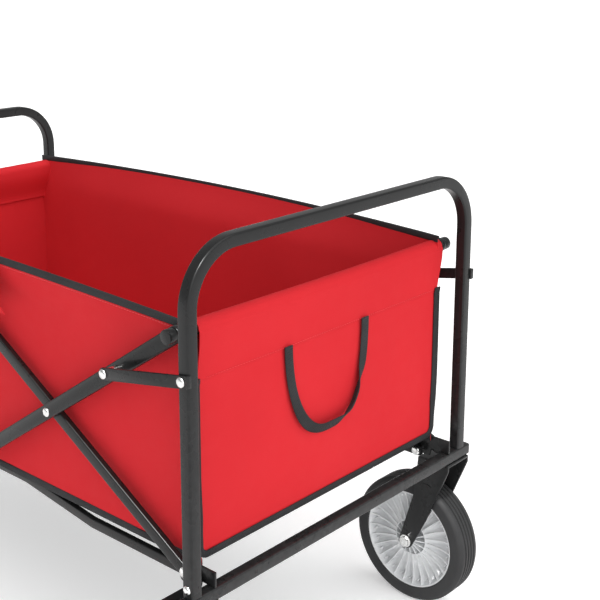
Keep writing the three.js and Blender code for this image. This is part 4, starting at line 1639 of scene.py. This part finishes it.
    def end_point(self, end: End, u: float, v: float) -> Vector:
        """A point of an end panel, from its bottom edge up and over the rod, and down to the seam.

        Args:
            end: Which end.
            u: From 0 at the right side to 1 at the left.
            v: From 0 at the bottom to 1 where the sleeve's inner leaf meets the seam.

        Returns:
            The point.
        """
        rod_x, rod_z = self.rod
        rise, back = rod_z - self.end_low, rod_z - self.seam_z
        round_rod = math.pi * self.roll
        total = rise + round_rod + back
        s = v * total
        if s < rise:
            z = self.end_low + s
            x = self.half_length - (self.half_length - rod_x - self.roll) * ease(z, self.seam_z - 0.01, rod_z)
        elif s < rise + round_rod:
            a = (s - rise) / self.roll
            x, z = rod_x + self.roll * math.cos(a), rod_z + self.roll * math.sin(a)
        else:
            z = rod_z - (s - rise - round_rod)
            near = self.half_length - 0.0035
            x = rod_x - self.roll + (near - rod_x + self.roll) * ease(rod_z - z, 0.0, back) ** 1.4
        half = self.width_at(end, z if s < rise + round_rod else rod_z - 0.4 * (rod_z - z))
        y = half * (2 * u - 1)
        if end is End.REAR:
            y -= 0.0085 * ease(z, self.seam_z, rod_z)
        middle = math.sin(math.pi * u)
        if s < rise:
            v_panel = (z - self.end_low) / rise
            x += 0.0026 * middle * math.sin(math.pi * min(1.0, v_panel * 1.1))
            wave = noise.noise(Vector((end.value * 5.0, y * 8.0, z * 8.0)))
            x += 0.0018 * middle * math.sin(math.pi * v_panel) * wave
            if z > self.seam_z:
                puff = 0.7 + 0.6 * noise.noise(Vector((y * 16.0, 2.0, end.value)))
                x += 0.0009 + 0.0011 * math.sin(math.pi * (z - self.seam_z) / (rod_z - self.seam_z)) * puff
        sag = -0.0016 * middle * ease(z, rod_z - 0.03, rod_z) if s > rise - 0.02 else 0.0
        return Vector((LAYOUT.middle + end.value * x, y, z + sag))

    def width_at(self, end: End, z: float) -> float:
        """Half the width of an end panel at a height."""
        low, high = self.end_half
        ear = 0.0030 if end is End.REAR else 0.0035
        short = max(0.0, self.end_corner - (z - self.end_low))
        rounding = self.end_corner - math.sqrt(max(0.0, self.end_corner ** 2 - short ** 2))
        spread = (high - low) * ease(z, self.end_low, 0.36)
        return low + spread + ear * ease(z, self.seam_z, self.rod[1]) - rounding

    def bound_edge(self, end: End, length: float) -> list[Vector]:
        """The middle of an end panel's tape: down one side, along the bottom and up the other.

        Args:
            end: Which end.
            length: Length of the end panel's cloth, over the rod and down to the seam.

        Returns:
            Points along the tape.
        """
        inset = self.flange / 2 - 0.0042
        low, half = self.end_low + inset - 0.0022, self.end_half[0] - inset
        turn = self.end_corner - inset
        corner = [QUARTER * i / 10 for i in range(11)]
        line = [(half, self.seam_z + 0.004 - (self.seam_z + 0.004 - low - turn) * i / 50) for i in range(50)]
        line += [(half - turn + turn * math.cos(a), low + turn - turn * math.sin(a)) for a in corner]
        line += [((half - turn) * (1 - i / 30), low) for i in range(1, 31)]
        line += [(-y, z) for y, z in reversed(line[:-1])]
        route = []
        for y, z in line:
            widest = self.width_at(end, z)
            u = max(0.0, min(1.0, (y / widest + 1) / 2))
            on_cloth = self.end_point(end, u, max(0.0, z - self.end_low) / length)
            straight = self.width_at(end, max(z, self.end_low + self.end_corner))
            spread = math.copysign(straight - self.end_half[0], y)
            askew = 0.0050 * ease(y, 0.0, half)
            route.append(Vector((on_cloth.x + end.value * 0.0020, y + spread * abs(y) / half + askew, z)))
        return route

    def end_panel(self, end: End) -> None:
        """One end panel with its sleeve, binding and seam."""
        body = cloth_body(end)
        rise, back = self.rod[1] - self.end_low, self.rod[1] - self.seam_z
        length = rise + math.pi * self.roll + back
        width = 2 * self.end_half[1]
        name = named(end, "end_panel")
        cloth = Workpiece.grid(name, 64, 150, lambda u, v: self.end_point(end, u, v), (width, length))
        obj = cloth.thicken(self.cloth).finish(CANVAS, body, smooth=60.0)
        outward = Vector((end.value, 0.0, 0.0))
        seam_v = (self.seam_z - self.end_low) / length
        route = self.bound_edge(end, length)
        legs = (self.seam_z - self.end_low) / (2 * (self.seam_z - self.end_low) + width)
        narrow = lambda t: 1.0 - 0.28 * ease(min(t, 1 - t), legs * 0.93, legs * 1.10)
        tape = strip(named(end, "panel_binding"), route, lambda t: outward, self.flange, 0.0024, narrow)
        pieces = [tape.finish(BINDING, body, smooth=60.0)]
        above_seam = seam_v + 0.0022 / length
        row = [self.end_point(end, 0.02 + 0.96 * i / 60, above_seam) + outward * 0.0009 for i in range(61)]
        sewn = stitches(named(end, "sleeve_stitches_1"), row, lambda t: outward)
        pieces.append(sewn.finish(RED_THREAD, body))

    def strap(self, end: End) -> None:
        """The webbing carry loop sewn into the sleeve's seam."""
        body = cloth_body(end)
        outward = Vector((end.value, 0.0, 0.0))
        top = self.seam_z + 0.003
        route = []
        steps = 72
        for i in range(steps + 1):
            a = math.pi * i / steps
            y = self.strap_half * math.copysign(abs(math.cos(a)) ** 0.68, math.cos(a))
            fall = self.strap_drop * math.sin(a)
            stand = 0.0034 + 0.0058 * math.sin(a) ** 2
            x = LAYOUT.middle + end.value * (self.half_length + 0.0016 + stand)
            route.append(Vector((x, y + self.strap_shift, top - fall)))

        def face(t: float) -> Vector:
            """The strap's face: tilted up along the bottom, then twisted over on one side."""
            point = route[round(t * steps)]
            out_of_loop = Vector((0.0, point.y - self.strap_shift, point.z - top)).normalized()
            twist = (0.40 * ease(t, 0.15, 0.42) + 0.60 * ease(t, 0.50, 0.63)) * (1 - ease(t, 0.72, 0.86))
            return outward * math.cos(twist) + out_of_loop * math.sin(twist)

        strap = strip(named(end, "carry_strap"), route, face, self.strap_width, 0.0020)
        strap.finish(WEBBING, body, [named(end, "strap_handle")], smooth=50.0)
        tacks = []
        for y in (self.strap_shift - self.strap_half, self.strap_shift + self.strap_half):
            for dz in (0.0, -0.006):
                x = LAYOUT.middle + end.value * (self.half_length + 0.0056)
                row = [Vector((x, y - 0.004 + 0.008 * i / 4, self.seam_z + 0.001 + dz)) for i in range(5)]
                tacks.append(stitches("tack", row, lambda t: outward, 0.0022))
        united(named(end, "strap_tacks"), tacks).finish(BLACK_THREAD, body)


# ---- pull handle --------------------------------------------------------------------------


@dataclass
class PullHandle:
    """The telescopic pull handle, standing folded up in front of the bail."""

    pivot_x: float
    pivot_z: float = 0.210
    lean: float = math.radians(2.4)
    outer_radius: float = 0.009
    outer_span: tuple[float, float] = (0.004, 0.322)
    inner_radius: float = 0.0066
    inner_span: tuple[float, float] = (0.030, 0.356)
    grip_low: float = 0.358
    grip_high: float = 0.430
    grip_half: float = 0.058
    grip_depth: float = 0.021
    grip_bar: float = 0.020
    grip_corner: float = 0.026
    collar: tuple[float, float, float] = (0.288, 0.328, 0.013)
    button_z: float = 0.302

    @classmethod
    def read(cls) -> "PullHandle":
        """Read the pivot's place from the bolt."""
        low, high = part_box("handle_bolt")
        return cls(pivot_x=(low.x + high.x) / 2)

    def lean_in(self) -> Matrix:
        """From upright over the pivot to the folded place."""
        return Matrix.Translation((self.pivot_x, 0.0, self.pivot_z)) @ Matrix.Rotation(-self.lean, 4, "Y")

    def build(self) -> None:
        """Build the bracket and the handle."""
        self.bracket()
        self.tubes()
        self.collar_and_button()
        self.grip()

    def bracket(self) -> None:
        """The U bracket on the cross bar and its bolt."""
        low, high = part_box("handle_bracket")
        base = Workpiece.block("base", (low.x, low.y, low.z), (low.x + 0.003, high.y, high.z))
        pieces = [base.soften(0.0012, 3)]
        for side in (-1, 1):
            line = [(low.x + 0.002, low.z), (self.pivot_x - 0.002, self.pivot_z - 0.010)]
            line += [(self.pivot_x + 0.010 * math.cos(a), self.pivot_z + 0.010 * math.sin(a))
                     for a in [-QUARTER + math.pi * i / 12 for i in range(13)]]
            line += [(low.x + 0.002, high.z)]
            ear = Workpiece.outline("ear", [(x, side * 0.013, z) for x, z in line])
            pieces.append(ear.extrude((0.0, side * 0.003, 0.0)).clean().soften(0.0007, 2))
        united("handle_yoke", pieces).finish(FRAME_COAT, "front_frame", ["handle_bracket"])
        centre = Vector((self.pivot_x, 0.0, self.pivot_z))
        bolt = cylinder("bolt", centre - Y_AXIS * 0.0195, 0.004, (0.0, 0.037, 0.0), 24)
        bolt.join([dome("bolt_head", centre + Y_AXIS * 0.0163, 0.007, 0.004, 1),
                   hexagon("nut", centre - Y_AXIS * 0.0163, 0.0066, 0.0048, -1)])
        bolt.obj.name = "handle_pivot_bolt"
        bolt.finish(ZINC, "front_frame", ["handle_bolt"])

    def tubes(self) -> None:
        """The outer tube with its eye, and the inner tube."""
        eye = cylinder("eye", (0.0, -0.012, 0.0), 0.011, (0.0, 0.024, 0.0), 40, 0.0012)
        low, high = self.outer_span
        tube = cylinder("tube", (0.0, 0.0, low), self.outer_radius, (0.0, 0.0, high - low), 40, 0.0012)
        outer = united("handle_outer_pipe", [eye, tube]).turn(self.lean_in())
        outer.finish(FRAME_COAT, "handle_lower", ["handle_outer_tube"])
        low, high = self.inner_span
        inner = cylinder("handle_inner_pipe", (0.0, 0.0, low), self.inner_radius, (0.0, 0.0, high - low),
                         32, 0.0006)
        inner.turn(self.lean_in()).finish(FRAME_COAT, "handle_upper", ["handle_inner_tube"])

    def collar_and_button(self) -> None:
        """The locking collar, stepped and ribbed, and its button."""
        low, high, radius = self.collar
        base = Workpiece.disc("collar", (0.0, 0.0, low), radius - 0.0012, 48)
        base.extrude((0.0, 0.0, 0.002))
        with base.editing():
            bpy.ops.transform.resize(value=(radius / (radius - 0.0012),) * 2 + (1.0,))
        base.extrude((0.0, 0.0, high - low - 0.008))
        base.extrude((0.0, 0.0, 0.006))
        with base.editing():
            bpy.ops.transform.resize(value=(0.82, 0.82, 1.0))
        base.clean().soften(0.0008, 2)
        ribs = [cylinder("rib", (0.0, 0.0, z), radius + 0.0002, (0.0, 0.0, 0.0014), 48, 0.0004)
                for z in (low + 0.003, low + 0.0058)]
        facing_out = Matrix.Rotation(QUARTER, 4, "Y")
        seat = Workpiece.disc("seat", (0.0, 0.0, 0.0), 0.0065, 32)
        seat.extrude((0.0, 0.0, 0.0012)).clean().soften(0.0004, 2)
        seat.turn(Matrix.Translation((radius - 0.0009, 0.0, self.button_z)) @ facing_out)
        collar = united("handle_lock_collar", [base, *ribs, seat]).turn(self.lean_in())
        collar.finish(BLACK_PLASTIC, "handle_lower", ["handle_collar"])
        button = Workpiece.disc("handle_release_button", (0.0, 0.0, 0.0), 0.0048, 32)
        button.extrude((0.0, 0.0, 0.0037)).clean().soften(0.0009, 3)
        button.turn(self.lean_in() @ Matrix.Translation((0.0115, 0.0, self.button_z)) @ facing_out)
        button.finish(BLACK_PLASTIC, "handle_button", ["handle_button"])

    def grip(self) -> None:
        """The loop grip: a rounded bar taken once round, on a short socket."""
        half_bar = self.grip_bar / 2
        y = self.grip_half - half_bar
        low, high = self.grip_low + half_bar, self.grip_high - half_bar
        r = self.grip_corner - half_bar
        loop = Workpiece.section("loop", (0.0, -y + r, low), self.grip_bar, 0.0075, along_y=True, hollow=True)
        loop.extrude((0.0, 2 * (y - r), 0.0)).spin(10, QUARTER, (0.0, y - r, low + r), -X_AXIS)
        loop.extrude((0.0, 0.0, high - low - 2 * r)).spin(10, QUARTER, (0.0, y - r, high - r), -X_AXIS)
        loop.extrude((0.0, -2 * (y - r), 0.0)).spin(10, QUARTER, (0.0, -y + r, high - r), -X_AXIS)
        loop.extrude((0.0, 0.0, -(high - low - 2 * r))).spin(10, QUARTER, (0.0, -y + r, low + r), -X_AXIS)
        loop.clean()
        stretch = self.grip_depth / self.grip_bar
        loop.turn(Matrix.Diagonal((stretch, 1.0, 1.0, 1.0)))
        top = self.collar[1] + GAP
        rise = (0.0, 0.0, self.grip_low + 0.006 - top)
        socket = cylinder("socket", (0.0, 0.0, top), 0.011, rise, 40, 0.0012)
        grooves = [cylinder("ridge", (0.0, 0.0, z), 0.0115, (0.0, 0.0, 0.0016), 40, 0.0005)
                   for z in (top + 0.006, top + 0.011, top + 0.016)]
        whole = united("handle_loop_grip", [loop, socket, *grooves]).turn(self.lean_in())
        whole.finish(BLACK_PLASTIC, "handle_upper", ["handle_grip"])


# ---- studio -------------------------------------------------------------------------------


@dataclass(frozen=True)
class Studio:
    """Pale floor, soft lights and the camera."""

    eye: tuple[float, float, float] = (-1.2569, 1.0063, 0.9189)
    yaw: float = math.radians(-48.624)
    pitch: float = math.radians(12.958)
    roll: float = math.radians(0.148)
    lens: float = 70.58
    shift: tuple[float, float] = (0.0073, -0.1667)
    floor_size: float = 60.0
    sky: float = 0.5

    def build(self) -> None:
        """Set the whole studio."""
        self.floor()
        self.lights()
        self.camera()

    def floor(self) -> None:
        """The floor, one plane wide enough to have no edge in view."""
        Workpiece.clear()
        bpy.ops.mesh.primitive_plane_add(size=self.floor_size, location=(0.0, 0.0, 0.0))
        plane = Workpiece(bpy.context.object, "studio_floor")
        plane.obj.data.materials.append(FLOOR_FINISH.material())

    def sun(self, name: str, source: Sequence[float], spread: float, strength: float,
            glints_only: bool = False) -> None:
        """One broad, even light from a direction.

        Args:
            name: The light's name.
            source: Direction towards the light.
            spread: Angle that it fills, in degrees.
            strength: Its strength.
            glints_only: Whether it shows only in glossy reflections.
        """
        data = bpy.data.lights.new(name, "SUN")
        data.energy, data.angle = strength, math.radians(spread)
        obj = bpy.data.objects.new(name, data)
        obj.rotation_euler = (-Vector(source)).to_track_quat("-Z", "Y").to_euler()
        obj.visible_diffuse = not glints_only
        bpy.context.scene.collection.objects.link(obj)

    def lights(self) -> None:
        """An even sky, a broad key from behind and above the wagon, and a small sun for glints."""
        world = bpy.data.worlds.new("studio")
        world.use_nodes = True
        world.node_tree.nodes["Background"].inputs[0].default_value = paint(1.0, 1.0, 1.0)
        world.node_tree.nodes["Background"].inputs[1].default_value = self.sky
        bpy.context.scene.world = world
        self.sun("key", (-0.66, 0.18, 0.80), 100.0, 2.7)
        self.sun("glint", (-0.24, 0.47, 0.85), 7.0, 6.0, glints_only=True)
        bpy.context.scene.view_settings.view_transform = "Standard"

    def camera(self) -> None:
        """The camera, behind the wagon's rear left corner and above it, looking forward into the tub."""
        data = bpy.data.cameras.new("camera")
        data.sensor_width = 36.0
        data.lens = self.lens
        data.shift_x, data.shift_y = self.shift
        data.clip_start, data.clip_end = 0.05, 200.0
        forward = Vector((math.cos(self.pitch) * math.cos(self.yaw),
                          math.cos(self.pitch) * math.sin(self.yaw), -math.sin(self.pitch)))
        level = Vector((math.sin(self.yaw), -math.cos(self.yaw), 0.0))
        up = level.cross(forward)
        right = level * math.cos(self.roll) + up * math.sin(self.roll)
        above = up * math.cos(self.roll) - level * math.sin(self.roll)
        obj = bpy.data.objects.new("camera", data)
        turn = Matrix((right, above, -forward)).transposed()
        obj.matrix_world = Matrix.Translation(self.eye) @ turn.to_4x4()
        bpy.context.scene.collection.objects.link(obj)
        bpy.context.scene.camera = obj


# ---- assembly -----------------------------------------------------------------------------


def rear_fork(side: Side, axle: Vector) -> Fork:
    """The fixed fork under the rear cross bar."""
    x = lambda inboard: LAYOUT.rear_post + inboard
    top = 0.2222
    line = [(x(0.046), 0.165), (x(0.0445), 0.182), (x(0.0415), 0.205), (x(0.040), top), (x(-0.009), top),
            (x(-0.009), 0.213), (x(-0.005), 0.203), (x(0.017), 0.150), (x(0.0245), 0.131)]
    return Fork("rear", side, "rear_frame", abs(axle.y), axle, line, top, (x(-0.009), x(0.040)),
                emboss=(x(0.025), 0.181))


def caster_fork(side: Side, axle: Vector, pin_x: float) -> Fork:
    """The swivelling fork under the front cross bar."""
    x = lambda back: pin_x - back
    top = 0.203
    line = [(x(0.034), 0.150), (x(0.030), 0.168), (x(0.023), 0.190), (x(0.020), top), (x(-0.018), top),
            (x(-0.018), 0.194), (x(-0.013), 0.183), (x(0.004), 0.150), (x(0.012), 0.131)]
    return Fork("caster", side, sided("caster", side), abs(axle.y), axle, line, top,
                (x(0.020), x(-0.018)), emboss=(x(0.012), 0.172))


def rolling_gear() -> None:
    """Build the wheels, forks and kingpins."""
    trail = 0.040
    for side in Side:
        for group in ("rear", "caster"):
            low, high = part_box(sided(f"{group}_tyre", side))
            centre = (low + high) / 2
            rear = group == "rear"
            carrier = "rear_frame" if rear else sided("caster", side)
            Wheel(group, side, centre, sided(f"{group}_wheel", side), carrier).build()
            if rear:
                rear_fork(side, centre).build()
                continue
            pin = Vector((centre.x + trail, centre.y, 0.0))
            race = cylinder("race", (pin.x, pin.y, 0.2025), 0.014, (0.0, 0.0, 0.0062), 48, 0.0014)
            post = cylinder("post", (pin.x, pin.y, 0.203), 0.0052, (0.0, 0.0, 0.0300), 24)
            caster_fork(side, centre, pin.x).build([race, post])


def main() -> None:
    """Build the wagon."""
    logging.basicConfig(level=logging.INFO, format="%(name)s: %(message)s")
    for end in End:
        EndFrame(end).build()
    rolling_gear()
    for end in End:
        SideArms(end).build()
    Tub().build()
    PullHandle.read().build()
    Studio().build()
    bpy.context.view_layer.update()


if __name__ == "__main__":
    main()
